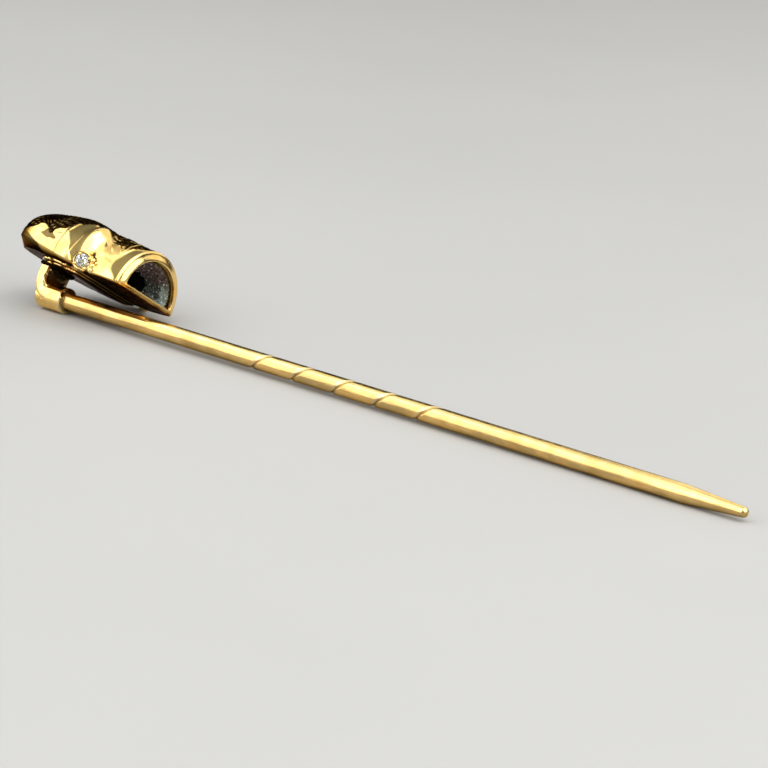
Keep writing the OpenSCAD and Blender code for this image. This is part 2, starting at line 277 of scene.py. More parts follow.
def mix(a, b, t):
    """a where t is 0, b where t is 1, and a straight blend between."""
    return a + (b - a) * t


# %% [markdown]
# ## The head's form
#
# The head is raised from sheet gold: an arched skin over a flat back, wide at the crown,
# pinched before the cheeks and open at the lower end. Its section changes all the way, so
# one table gives the width, height and squareness of the arch at thirteen places, as shares
# of a few real sizes, and a smooth curve runs through the rows. A lattice or a subdivided
# cube would bend as well, but the table is the same one that the solid was built from, so
# the fine skin lies just inside it.

# %% Sizes of the head
HEAD_L = 12.0
HEAD_REACH = 6.7
MOUTH_W, MOUTH_H = 6.5, 3.65
CROWN_W, CROWN_H = 9.3, 4.55
BACK_GAP = 1.83
BACK_RISE = 0.7
BACK_T = 0.35
EDGE_RISE = 0.6
EDGE_BEVEL = 0.12
CROWN_ROUND = 3.0
TOP_ROUND = 0.55 * CROWN_ROUND
PLAN_POWER, TOP_POWER = 2.2, 2.4
END_HEIGHT = 0.3
# How far the fine skin lies inside the solid's
SKIN_INSET = 0.045

# Place along the head, then the shares: breadth, height, lift of the back, rise of the
# widest line, width of the flat back, and the squareness of the arch itself
SECTIONS = [
    [0.000, 0.00, 0.00, 0.00, 0.00, 0.97, 2.0],
    [0.090, 0.20, 0.13, 0.00, 0.00, 0.97, 2.1],
    [0.175, 0.31, 0.24, 0.00, 0.00, 0.96, 2.2],
    [0.255, 0.33, 0.36, 0.00, 0.00, 0.95, 2.2],
    [0.295, 0.62, 0.41, 0.10, 0.03, 0.88, 2.3],
    [0.335, 1.08, 0.42, 0.20, 0.05, 0.82, 2.5],
    [0.390, 1.26, 0.44, 0.25, 0.08, 0.80, 2.6],
    [0.445, 1.22, 0.58, 0.30, 0.15, 0.80, 2.6],
    [0.495, 1.15, 0.78, 0.38, 0.22, 0.80, 2.5],
    [0.580, 1.01, 0.96, 0.50, 0.40, 0.80, 2.4],
    [0.775, 1.00, 0.68, 0.75, 0.75, 0.80, 2.4],
    [0.875, 1.00, 0.32, 0.85, 0.85, 0.80, 2.4],
    [1.000, 1.00, 0.00, 1.00, 1.00, 0.80, 2.3],
]


def section(s):
    """Sizes of the section at a distance s from the open end: half width, back, widest line,
    crest, half width of the flat back, and squareness. The crown's end is rounded in plan by
    (1 - t^p)^(1/p), and in height by a like curve over its last part."""
    breadth, height, lift, edge, flat, full = np.moveaxis(through(SECTIONS, s / HEAD_L), -1, 0)
    t = np.clip((s - HEAD_L + CROWN_ROUND) / CROWN_ROUND, 0, 1)
    half = mix(MOUTH_W, CROWN_W, breadth) / 2 * (1 - t**PLAN_POWER) ** (1 / PLAN_POWER)
    back = BACK_GAP + BACK_RISE * lift
    low = back + EDGE_BEVEL + EDGE_RISE * edge
    t = np.clip((s - HEAD_L + TOP_ROUND) / TOP_ROUND, 0, 1)
    rounding = mix(END_HEIGHT, 1, (1 - t**TOP_POWER) ** (1 / TOP_POWER))
    crest = low + (BACK_GAP + mix(MOUTH_H, CROWN_H, height) - low) * rounding
    return half, back, low, crest, half * flat, full


# %% [markdown]
# ## Where the stones sit
#
# Each stone sits low on the slanted face before the cheek, and looks sideways and a little
# towards the open end. A boolean would cut its opening out of the skin, and leave long thin
# faces there. It is cleaner to push the skin's own points down inside a circle: the steep
# wall that this makes is hidden by the rim of the collet.

# %% Place of a stone, and its opening
STONE_D = 1.1
STONE_UP = 0.68
STONE_TURN = 38
STONE_PLACE = 0.295
STONE_SINK = 0.2 * STONE_D
STONE_GAP = 0.02
GIRDLE = 0.05 * STONE_D
SEAT_FLOOR = -0.42
# The opening's steep wall in the skin: where it starts and ends outside the stone
OPENING_WALL = (0.03, 0.09)


def stone_middle():
    """Middle of a stone's seat on the skin, by the superellipse of its section."""
    half, back, low, crest, flat, full = section(np.array(STONE_PLACE * HEAD_L))
    out = half * (1 - (STONE_UP / (crest - low)) ** full) ** (1 / full)
    return np.array([HEAD_REACH - STONE_PLACE * HEAD_L, float(out), BACK_GAP + STONE_UP])


STONE_MIDDLE = stone_middle()


def at_stone(points, side):
    """Seat coordinates to the pin's own: Z of the seat points out of it. side is -1 for the
    near stone and 1 for the far one."""
    x, y, z = np.moveaxis(np.asarray(points, float), -1, 0)
    z = z - STONE_SINK
    turn = math.radians(side * (90 - STONE_TURN))
    out_x, out_y, out_z = z, y, -x
    turned_x = out_x * math.cos(turn) - out_y * math.sin(turn)
    turned_y = out_x * math.sin(turn) + out_y * math.cos(turn)
    place = np.stack([turned_x, turned_y, out_z], axis=-1)
    return place + STONE_MIDDLE * np.array([1, side, 1]) + np.array([0, SIDE_SHIFT, 0])


def to_seat(points, side):
    """The pin's own coordinates to those of a seat: at_stone turned round."""
    place = points - STONE_MIDDLE * np.array([1, side, 1]) - np.array([0, SIDE_SHIFT, 0])
    turn = math.radians(side * (90 - STONE_TURN))
    out_x = place[..., 0] * math.cos(turn) + place[..., 1] * math.sin(turn)
    out_y = place[..., 1] * math.cos(turn) - place[..., 0] * math.sin(turn)
    return np.stack([-place[..., 2], out_y, out_x + STONE_SINK], axis=-1)


def sunk(points):
    """Pushes the skin down under each stone: inside the seat's round opening a point is
    lowered to the floor of the seat, along the seat's own axis."""
    for side in (-1, 1):
        seat = to_seat(points, side)
        away = np.hypot(seat[..., 0], seat[..., 1])
        inside = 1 - step(away - STONE_D / 2, *OPENING_WALL)
        inside = inside * (np.abs(seat[..., 2]) < STONE_D)
        floor_z = np.minimum(seat[..., 2], SEAT_FLOOR)
        seat[..., 2] = mix(seat[..., 2], floor_z, inside)
        points = at_stone(seat, side)
    return points


# %% [markdown]
# ## The chasing
#
# A chaser works the sheet from the front with blunt punches. On each side of the head there
# is a raised brow, a sunk and hatched wedge behind it with a fine ridge through it, a sunk
# band behind the lip, and an engraved line across the smooth gold of the crown. The crown
# itself has a dark coat of short curved strokes, which ends over two smooth lobes with a
# notch between them, and the snout is dark and grainy with a few raised strokes.
#
# Each line is a small table of places, and the distance to it drives a groove, a ridge or
# the edge of a sunk field. A displacement texture could not hold such crisp edges without
# an image, and images are not used here.

# %% Lines of the chasing
# Each table gives the angle up from the side edge in degrees, and the distance from the
# open end in millimetres
RIM_LINE = [[0, 0.30], [12, 0.27], [20, 0.23], [35, 0.20], [90, 0.20]]
BAND_LINE = [
    [0, 0.60], [4, 0.75], [12, 1.25], [22, 1.33], [33, 1.13], [44, 1.05], [51, 0.98],
    [58, 0.62], [70, 0.45], [90, 0.40],
]
BROW_FRONT = [
    [0, 2.20], [20, 2.10], [27, 2.00], [30, 2.10], [37, 2.58], [45, 3.05], [50, 3.30],
    [57, 3.90], [70, 4.60], [90, 5.00],
]
BROW_BACK = [
    [0, 3.80], [14, 3.85], [24, 3.94], [31, 4.02], [40, 4.21], [48, 4.80], [55, 5.50],
    [62, 5.80], [90, 6.00],
]
CRISP_LINE = [
    [0, 4.15], [4, 4.33], [8, 4.62], [14, 4.83], [18, 5.10], [22, 5.47], [24, 5.68],
    [29, 5.63], [35, 5.66], [62, 5.80], [90, 6.00],
]
FINE_LINE = [[0, 4.46], [6, 4.48], [13, 4.47], [23, 4.43], [30, 4.52], [90, 5.20]]
ENGRAVED = [[0, 5.95], [4, 5.88], [8, 5.93], [16, 5.88], [21, 5.90], [28, 6.06], [60, 6.60]]
COAT_LINE = [[0, 6.05], [25, 6.10], [30, 6.00], [35, 5.80], [40, 5.55], [62, 5.50], [90, 5.60]]
# These tables give an angle for each distance: where the smooth gold of the crown ends, the
# crease under its two lobes, the notch between them, the painted shade along the crown's lower
# edge, and where the dark snout begins
LOBE_TOP = [
    [5.0, 40.0], [5.9, 29.0], [6.3, 24.0], [6.8, 23.0], [7.05, 19.5], [7.25, 16.0],
    [7.45, 13.5], [7.65, 14.5], [7.95, 17.5], [8.3, 19.5], [8.7, 18.8], [8.95, 15.0],
    [9.4, 10.6], [9.8, 8.4], [10.4, 5.9], [12.0, 3.0],
]
LOBE_CREASE = [[6.1, 20.5], [6.6, 18.0], [7.14, 17.2], [7.7, 16.4], [8.3, 15.9], [8.9, 13.4]]
NOTCH_LOW = [[6.5, 11.6], [6.7, 10.3], [7.18, 9.8], [7.43, 8.6], [7.92, 9.1], [8.33, 10.2]]
NOTCH_TOP = [
    [6.5, 11.4], [6.66, 12.9], [7.1, 14.6], [7.3, 18.0], [7.9, 17.0], [8.07, 13.5], [8.33, 10.0],
]
CROWN_SHADE_LOW = [
    [7.0, -2.5], [7.6, -1.5], [7.9, -0.5], [8.2, 0.3], [8.5, 1.0], [9.0, 2.6], [9.5, 4.5],
    [12.0, 12.0],
]
SNOUT_LOW = [
    [0.4, 62], [0.9, 56], [1.2, 48], [1.7, 42], [2.15, 44], [2.65, 46.5], [3.1, 48.0],
    [3.5, 50.0], [3.9, 53], [4.3, 55], [4.8, 57], [5.4, 58], [6.2, 60],
]
# Raised strokes at the muzzle: distance and angle of both ends, and width
MUZZLE_STROKES = [
    [3.43, 56.6, 3.06, 55.0, 0.075], [3.21, 49.7, 2.88, 49.6, 0.075], [3.73, 64.4, 3.68, 64.4, 0.055],
    [2.92, 56.0, 2.84, 56.0, 0.060], [3.69, 80.1, 3.10, 80.0, 0.045], [3.10, 80.0, 2.14, 72.3, 0.045],
    [2.49, 67.9, 2.07, 68.2, 0.065], [1.90, 76.0, 1.52, 60.2, 0.080], [1.52, 60.2, 1.52, 52.7, 0.060],
    [1.52, 52.7, 1.34, 43.9, 0.060], [1.34, 43.9, 1.38, 34.9, 0.055], [1.84, 46.5, 1.70, 44.0, 0.110],
    [1.60, 40.5, 1.46, 36.2, 0.050], [2.15, 45.2, 2.05, 44.8, 0.065], [1.06, 50.1, 1.13, 42.2, 0.075],
    [1.13, 42.2, 1.24, 34.2, 0.050],
]
ARC_PER_DEGREE = 0.072
STROKE_PITCH = 0.25
STROKE_L = 0.75
# How far the coat's lanes lean, and how far each lane starts after the one before it
STROKE_LEAN, STROKE_STAGGER = 0.35, 0.43


def on_skin(s, angle):
    """Places on the unrolled skin in millimetres, for noise and for distances."""
    return np.stack([s, angle * ARC_PER_DEGREE, np.zeros_like(s)], axis=-1)


def beyond(line, s, angle):
    """Distance past a chased line, towards the crown, in millimetres: the gap along the head
    times the cosine of the line's slant on the skin."""
    place = through(line, angle)[..., 0]
    slant = (through(line, angle + 0.5)[..., 0] - through(line, angle - 0.5)[..., 0]) / ARC_PER_DEGREE
    return (s - place) / np.sqrt(1 + slant**2)


def fur(s, angle):
    """Short curved strokes: rounded ridges across one direction, broken into lengths along
    the other, both bent by noise. Gives the height, from 0 in a cut to 1 on a ridge."""
    arc = angle * ARC_PER_DEGREE
    skin = on_skin(s, angle)
    bend = 0.55 * noise(skin, 1.3, seed=3) + 0.12 * noise(skin, 0.45, seed=4)
    across = (STROKE_LEAN * s + arc + bend) / STROKE_PITCH
    lane = np.floor(across)
    along = (s - STROKE_LEAN * arc + 0.4 * noise(skin, 1.6, seed=5)) / STROKE_L + STROKE_STAGGER * lane
    ridge = np.sin(math.pi * (across - lane))
    length = np.abs(np.sin(math.pi * along))
    return np.sqrt(ridge * np.sqrt(length))


def muzzle(s, angle):
    """Height of the raised strokes, 0 to 1: a bell of the distance to each short straight
    line, found from the nearest point between its two ends. Each narrows towards its end."""
    place = on_skin(s, angle)
    most = np.zeros_like(s)
    for s_from, angle_from, s_to, angle_to, width in MUZZLE_STROKES:
        start, end = on_skin(np.array([s_from, s_to]), np.array([angle_from, angle_to]))
        run = end - start
        share = np.clip((place - start) @ run / (run @ run), 0, 1)
        away = np.linalg.norm(place - start - share[..., None] * run, axis=-1)
        most = np.maximum(most, bell(away / (width * (1.15 - 0.5 * share))))
    return most


print("strokes of the coat", STROKE_PITCH, "mm apart and", STROKE_L, "mm long")

# %% [markdown]
# ## From lines to relief
#
# The same lines now give two things at once: how far the skin stands in or out, and how
# dark or dull the gold is there. The brow and the fold behind it are broad forms that the
# solid has too. The sunk fields, the strokes and the fine ridges are shallow, a tenth of a
# millimetre, and only this skin has them. The crown's end and its lower edge are painted
# dark as shade, and two faint tan patches lie low on the snout's smooth side.

# %% Relief of the skin
BROW_H, BROW_R, BROW_L = 0.2, 0.8, 1.6
BROW_LOW, BROW_HIGH, BROW_TURN = 0.195, 0.455, 42
FOLD_DEPTH, FOLD_W, FOLD_LOW, FOLD_HIGH = 0.2, 0.45, 0.335, 0.45
# Depths and heights of the shallow relief, in millimetres
FIELD_DEPTH, BAND_DEPTH, NOTCH_DEPTH, CUT_DEPTH = 0.09, 0.054, 0.07, 0.07
RIM_H, RIDGE_H, LOBE_H, MUZZLE_H = 0.04, 0.05, 0.04, 0.06
COAT_DEPTH, STROKE_H = 0.11, 0.12
FRONT_DEPTH, SNOUT_DEPTH = 0.05, 0.05
# Where the notch, the crease and the lobes lie along the head, and where the crease breaks
NOTCH_FROM, NOTCH_TO = 6.46, 8.40
CREASE_FROM, CREASE_TO, CREASE_GAP = 6.1, 8.95, 7.45


def broad_form(s, side, half):
    """The two forms that the solid has too: a long brow, bell(along) bell(across) about a
    slanted line, and the fold behind it."""
    up = np.sin(np.radians(side))
    along = (s - HEAD_L * mix(BROW_LOW, BROW_HIGH, up**2)) / BROW_R
    across = (side - BROW_TURN) * half * math.pi / 180 / BROW_L
    fold = (s - HEAD_L * mix(FOLD_LOW, FOLD_HIGH, up)) / FOLD_W
    return BROW_H * bell(along) * bell(across) - FOLD_DEPTH * bell(fold)


def wedge(s, side):
    """The sunk field behind the brow, the rim along its far line, and the ridge through it."""
    crisp = beyond(CRISP_LINE, s, side)
    brow_back = beyond(BROW_BACK, s, side)
    field = step(-crisp, -0.01, 0.05) * step(brow_back, -0.05, 0.12) * step(64 - side, 0, 6)
    rim = bell((crisp - 0.03) / 0.06) * between(side, 12, 42, 8, 12)
    ridge = bell((beyond(FINE_LINE, s, side) - 0.02) / 0.03) * field * between(side, 3, 30, 3, 4)
    return crisp, field, rim, ridge


def crown(s, side, wobble):
    """The crown's shares: the coat of strokes, the notch between the two smooth lobes, the
    crease under them, and the lobes themselves."""
    over_lobes = side - through(LOBE_TOP, s)[..., 0] + 0.5 * wobble
    coat = step(over_lobes, -0.4, 0.7) * step(beyond(COAT_LINE, s, side), 0.0, 0.12)
    notch = step(side - through(NOTCH_LOW, s)[..., 0], -0.4, 0.5)
    notch = notch * step(through(NOTCH_TOP, s)[..., 0] - side, -0.4, 0.5)
    notch = notch * between(s, NOTCH_FROM, NOTCH_TO, 0.1, 0.1)
    over_crease = side - through(LOBE_CREASE, s)[..., 0]
    crease = bell(over_crease * ARC_PER_DEGREE / 0.045) * between(s, CREASE_FROM, CREASE_TO, 0.2, 0.2)
    crease = crease * np.clip(np.abs(s - CREASE_GAP) / 0.3 - 0.6, 0, 1)
    lobes = step(over_crease, 0, 2) * between(s, CREASE_FROM, CREASE_TO + 0.05, 0.3, 0.2)
    return coat, notch, crease, lobes * (1 - coat)


def painted_shade_edges(s, side, coat, wobble):
    """Painted shade on the crown's end, where no coat covers it, and along its lower edge."""
    end = step(s - 0.3 * wobble, 8.7, 9.9)
    edge = step(through(CROWN_SHADE_LOW, s)[..., 0] - side, -0.5, 0.4) * step(s, 7.5, 7.9)
    return np.maximum(end * (1 - coat), edge)


def relief(s, side, half):
    """Height of the skin in millimetres, with its hatched and dark shares: the broad forms,
    sunk fields between two lines, a narrow groove on the engraved line, and strokes over the
    crown and the snout."""
    skin = on_skin(s, side)
    wobble = noise(skin, 0.8, seed=8)
    crisp, field, rim, ridge = wedge(s, side)
    coat, notch, crease, lobes = crown(s, side, wobble)
    strokes = fur(s, side)
    engraved = bell(beyond(ENGRAVED, s, side) / 0.045) * step(40 - side, 0, 10)
    to_band = beyond(BAND_LINE, s, side)
    past_rim = beyond(RIM_LINE, s, side)
    band = step(past_rim, 0.0, 0.05) * step(-to_band, -0.04, 0.10)
    snout = step(side - through(SNOUT_LOW, s)[..., 0] + 1.5 * wobble, -0.5, 2.5)
    snout = snout * step(to_band, 0.02, 0.12) * step(-crisp, -0.02, 0.1)
    grain = step(noise(skin, 0.17, seed=11), 0.25, 0.6)
    raised = muzzle(s, side)
    front = bell(beyond(BROW_FRONT, s, side) / 0.16) * step(side, 24, 34)

    height = broad_form(s, side, half) + RIM_H * rim + RIDGE_H * ridge - CUT_DEPTH * engraved
    height = height - FIELD_DEPTH * field * step(54 - side, 0, 14) - BAND_DEPTH * band
    height = height + LOBE_H * (lobes - crease) - NOTCH_DEPTH * notch - FRONT_DEPTH * front
    height = height - (COAT_DEPTH - STROKE_H * strokes) * coat + MUZZLE_H * raised
    height = height - SNOUT_DEPTH * snout * (1 - 0.4 * grain)

    hatch = np.clip(field * (1 - ridge) + band + 0.75 * notch, 0, 1)
    wear_and_glint = step(strokes, 0.90, 0.985) * mix(0.3, 1, step(wobble, 0.0, 0.6))
    dark = coat * (1 - 0.30 * wear_and_glint) + engraved + 0.35 * crease + 0.45 * notch * (1 - coat)
    dark = dark + 0.97 * snout * mix(1, 0.85, grain) + 0.2 * bell(crisp / 0.05) * field
    dark = dark + 0.25 * bell((past_rim - 0.04) / 0.04) * band
    tan = bell((side - 13) / 5) * between(s, 0.9, 3.0, 0.6, 0.5)
    tan = (tan + 1.3 * bell((side - 38) / 8) * between(s, 1.2, 2.9, 0.4, 0.6)) * (1 - band)
    # Painted shade darkens the crown's end and its lower edge
    dark = dark + 0.26 * tan * (1 - snout) + 0.88 * painted_shade_edges(s, side, coat, wobble)
    return height, hatch, np.clip(dark * (1 - 0.85 * raised), 0, 1)


# %% [markdown]
# ## The hollow
#
# Seen from the open end, the lip is a broad bright band. It leans back like a shallow cone,
# so that it mirrors the light and not the floor, with a rounded outer edge and a tan bevel
# inside. Behind it the wall is caked with old polish, thick on the far side, and a round
# black hollow is left in the middle. The outer skin, the lip, the caked wall and the hollow
# are one closed sheet: the rings run down the skin, round the lip and back up inside, so no
# seam has to be hidden.

# %% Rings of the head
LIP = 0.8
LIP_LEAN = 0.24
LIP_ROUND = 0.20
BEVEL_START, BEVEL_DEEP = 0.64, 0.24
HOLLOW_MIDDLE = (1.70, 3.00)
HOLLOW_R = (1.18, 1.02)
# Distances from the open end: where the wall starts to close, where the round hollow
# begins, and where it ends
CLOSING_AT, HOLLOW_AT, HOLLOW_END = 1.9, 3.05, 8.0
# How far in the wall lies at the hollow, and how far it has closed where the closing starts
WALL_INSET, EARLY_CLOSE = 1.0, 0.18
CROWN_TURN = 87.5
# Rings of each stretch, and points round each ring
CROWN_ROWS, SKIN_ROWS, LIP_ROWS, BEVEL_ROWS, WALL_ROWS, CLOSING_ROWS, PIPE_ROWS = 44, 203, 11, 5, 21, 16, 8
FACE_ROWS = 3
ARCH_COLUMNS, BACK_COLUMNS = 250, 50


def after(first, last, count):
    """So many even steps from first to last, without first itself."""
    return np.linspace(first, last, count + 1)[1:]


def head_rings():
    """Where each ring lies: distance from the open end, how far in from the skin, how far it
    has closed to the round hollow, and how many rings lie on the outside."""
    turn = np.radians(np.linspace(CROWN_TURN, 0, CROWN_ROWS))
    end = HEAD_L - CROWN_ROUND + CROWN_ROUND * np.sin(turn)
    skin = after(HEAD_L - CROWN_ROUND, LIP_ROUND + LIP_LEAN, SKIN_ROWS)
    turn = np.radians(after(0, 90, LIP_ROWS - FACE_ROWS))
    rounding, rounding_in = LIP_LEAN + LIP_ROUND * (1 - np.sin(turn)), LIP_ROUND * (1 - np.cos(turn))
    face = after(0, 1, FACE_ROWS)
    lean, lean_in = LIP_LEAN * (1 - face) ** 1.3, mix(LIP_ROUND, BEVEL_START - 0.06, face)
    bevel = np.linspace(0, 1, BEVEL_ROWS) ** 1.5
    s = np.concatenate([
        end, skin, rounding, lean, BEVEL_DEEP * bevel, after(BEVEL_DEEP, CLOSING_AT, WALL_ROWS),
        after(CLOSING_AT, HOLLOW_AT, CLOSING_ROWS), after(HOLLOW_AT, HOLLOW_END, PIPE_ROWS),
    ])
    outside = CROWN_ROWS + SKIN_ROWS
    inset = np.concatenate([
        np.zeros(outside), rounding_in, lean_in, mix(BEVEL_START, LIP, bevel),
        after(LIP, WALL_INSET, WALL_ROWS), np.full(CLOSING_ROWS + PIPE_ROWS, WALL_INSET),
    ])
    closed = np.concatenate([
        np.zeros(outside + LIP_ROWS + BEVEL_ROWS), EARLY_CLOSE * after(0, 1, WALL_ROWS) ** 1.5,
        mix(EARLY_CLOSE, 1, np.sin(after(0, math.pi / 2, CLOSING_ROWS)) ** 1.3), np.ones(PIPE_ROWS),
    ])
    return s, inset, closed, outside


# %% [markdown]
# ## Dirt and painted shade on the head
#
# What makes an old pin look old is dirt in the right places. The cake in the hollow has a
# mauve part and a pale bloom, a darker ring lies between the grains beside each stone, and
# the flat back, which faces the floor, has painted shade in dark and amber streaks. Painting
# by hand would do for one view. Here each is a share from 0 to 1 at every point, worked out
# from where the point lies.

# %% Shares of dirt and painted shade
# A darker ring round a stone: its radius and width
SEAT_RING_R, SEAT_RING_W = 0.90, 0.24
# Painted shade on the flat back: its middle and swing, and how far the streaks are stretched
BACK_SHADE, BACK_SHADE_SWING, STREAK_STRETCH = 0.55, 0.6, 0.22
# The line on the back left clear of the painted shade: its distance from the near edge and its width
BRIGHT_AT, BRIGHT_W = 0.30, 0.10


def bevel_share(s, outside):
    """How tan the gold is on the lip's inner bevel and just behind it."""
    row = np.arange(len(s))
    return ((row > outside + LIP_ROWS + 1) * step(1.2 - s, 0, 0.5) * 0.6)[:, None]


def back_shade(s, y, from_edge):
    """Painted shade on the flat back, which faces the floor: noise drawn out along the head,
    less a thin bright line at a distance from the near edge."""
    streaks = noise(np.stack([s * STREAK_STRETCH + 0 * y, y, 0 * y], axis=-1), 0.45, seed=26)
    dark = np.clip(BACK_SHADE + BACK_SHADE_SWING * streaks, 0.1, 0.95)
    return dark * (1 - 0.9 * bell((from_edge - BRIGHT_AT) / BRIGHT_W))


def stains(points):
    """Mauve and pale shares of the cake: mauve under the crest, and a pale bloom in a patch
    on the far side and along the floor near the lip, both broken up by noise."""
    x, y, z = np.moveaxis(points, -1, 0)
    cloud = noise(points, 0.5, seed=25)
    mauve = step(z + 0.4 * cloud, 3.5, 4.0)
    patch = bell((y - 3.0) / 0.55) * bell((z - 3.2) / 0.55) * step(x, 5.0, 5.5)
    row = step(2.75 - z, 0, 0.3) * step(x, 4.6, 5.4)
    bloom = np.clip((patch + 0.8 * row) * (0.9 + 0.7 * cloud), 0, 1)
    return mauve, bloom


def seat_ring_dark(points):
    """A darker soft ring round each seat, between the grains, on its side to the mouth."""
    wash = np.zeros(points.shape[:-1])
    for side in (-1, 1):
        seat = to_seat(points, side)
        away = np.hypot(seat[..., 0], seat[..., 1])
        ahead = points[..., 0] - STONE_MIDDLE[0]
        ring = bell((away - SEAT_RING_R) / SEAT_RING_W) * (np.abs(seat[..., 2]) < STONE_D)
        ring = ring * step(ahead, 0.1, 0.45) * step(noise(points, 0.16, seed=23), -0.45, 0.05)
        wash = np.maximum(wash, ring)
    return np.clip(1.7 * wash, 0, 0.96)


# %% [markdown]
# ## The head's sheet
#
# Now the rings, the relief, the dirt and the painted shade come together in one grid. A ring
# is the arch and the flat back, joined at the two side edges. The cake is real relief as well:
# the wall grows inwards by noise. A displacement modifier would do that too, but then the
# crumbs could not be placed on the wall's own points.

# %% The head
def head_skin():
    """The head's closed sheet. On the arch a point is the widest line's middle plus
    r(a) (-cos a, sin a), with r = ((|cos a|/w)^f + (|sin a|/h)^f)^(-1/f) plus the relief. The
    flat back is a straight row, and inside the hollow each ring moves towards a circle."""
    s, inset, closed, outside = head_rings()
    half, back, low, crest, flat, full = (v[:, None] for v in section(s))
    row, s, closed = np.arange(len(s))[:, None], s[:, None], closed[:, None]
    angle = np.radians(np.linspace(0, 180, ARCH_COLUMNS))[None, :]
    side = np.minimum(np.degrees(angle), 180 - np.degrees(angle))
    inward = inset[:, None] + SKIN_INSET
    lift = BACK_T * np.clip(inset[:, None] / LIP, 0, 1) + SKIN_INSET
    base = low + lift
    wide, high = half - inward, crest - inward - base
    radius = (np.abs(np.cos(angle)) / wide) ** full + (np.abs(np.sin(angle)) / high) ** full
    radius = radius ** (-1 / full)
    height, hatch, dark = relief(s + 0 * angle, side + 0 * s, half)
    worked = (row < outside) * step(s, 0.36, 0.5)
    radius = radius + height * worked
    across = np.linspace(1, -1, BACK_COLUMNS)[None, :]
    y = SIDE_SHIFT + np.concatenate([-radius * np.cos(angle), (flat - inward) * across], axis=1)
    z = np.concatenate([base + radius * np.sin(angle), back + lift + 0 * across], axis=1)

    every = 0 * y
    to_middle = np.hypot(y - HOLLOW_MIDDLE[0], z - HOLLOW_MIDDLE[1])
    ring_y = HOLLOW_MIDDLE[0] + HOLLOW_R[0] * (y - HOLLOW_MIDDLE[0]) / to_middle
    ring_z = HOLLOW_MIDDLE[1] + HOLLOW_R[1] * (z - HOLLOW_MIDDLE[1]) / to_middle
    y, z = mix(y, ring_y, closed), mix(z, ring_z, closed)
    grid = np.stack([HEAD_REACH - s + every, y, z], axis=-1)

    inside = row >= outside + LIP_ROWS + BEVEL_ROWS
    caked = inside * step(s, 0.4, 0.8) * step(-s, -HOLLOW_END, -HOLLOW_AT - 0.2)
    crumb = 0.06 + 0.10 * noise(grid, 0.34, seed=21) + 0.06 * noise(grid, 0.15, seed=22)
    towards = np.stack([every, HOLLOW_MIDDLE[0] - y, HOLLOW_MIDDLE[1] - z], axis=-1)
    towards /= np.linalg.norm(towards, axis=-1, keepdims=True)
    grid = grid + towards * (crumb * caked)[..., None]
    grid[:outside] = sunk(grid[:outside])

    blank = np.zeros((len(s), BACK_COLUMNS))
    arc = np.degrees(angle) * ARC_PER_DEGREE + 0 * s
    below = np.concatenate([0 * arc, blank + 1], axis=1) * (1 - inside)
    back_shade_share = back_shade(s, y[:, ARCH_COLUMNS:], flat * (1 + across)) * (row < outside)
    mauve, bloom = stains(grid)
    return tube(grid, {
        "hatch": np.concatenate([hatch * worked, blank], axis=1),
        # Painted amber shade on the flat back, which faces the floor, and tan on the lip's inner bevel
        "amber": np.clip(below * step(s, 0.0, 0.25) + bevel_share(s[:, 0], outside), 0, 1),
        # Painted shade in dark streaks on the flat back, and a darker ring beside each stone
        "dark": np.maximum(np.concatenate([dark * worked, back_shade_share], axis=1), seat_ring_dark(grid) * (1 - inside)),
        "cake": inside * step(s, 0.30, 0.80) + every,
        "deep": inside * step(s, HOLLOW_AT - 0.06, HOLLOW_AT) + every,
        "mauve": mauve * inside,
        "bloom": bloom * inside,
        "skin_place": np.stack([s + every, np.concatenate([arc, blank], axis=1), every], axis=-1),
    })


head_shape = head_skin()
head = make_piece("head_shell", head_shape, replaces=["head"])

# %% [markdown]
# ## The plate on the back
#
# A flat plate is soldered on the back of the crown, and the neck strip stands on it. Its
# edge shows below the head as two bright ledges with small dark gaps. Extruding a drawn
# outline would give it in a few clicks. Here the outline is a function, because each layer
# is the same outline drawn in by a step, and its gaps are notches and windows of painted
# shade at named places. The lower faces carry painted amber shade, and the end near the
# mouth painted dark shade.

# %% Layers of the plate
PLATE_T = 0.3
PLATE_STEP = 0.5
# How far the upper layer reaches into the head's back, so that no gap shows
PLATE_SINK = 0.03
# Shares of the head's length and of half the crown's width
PLATE = [[0.35, 0.70], [0.41, 0.83], [0.57, 0.82], [0.70, 0.66], [0.83, 0.36]]
CORNER_R = 0.15
NOTCHES, NOTCH_W = [4.9, 5.5, 7.3, 7.9], 0.16
WINDOW_W = 0.28
# Shares of the outline's size and of the thickness, round a softened edge
EDGE_PROFILE = np.array([
    [0.5, 0], [0.97, 0], [0.99, 0.12], [1, 0.3], [1, 0.7], [0.99, 0.88], [0.97, 1], [0.5, 1],
])


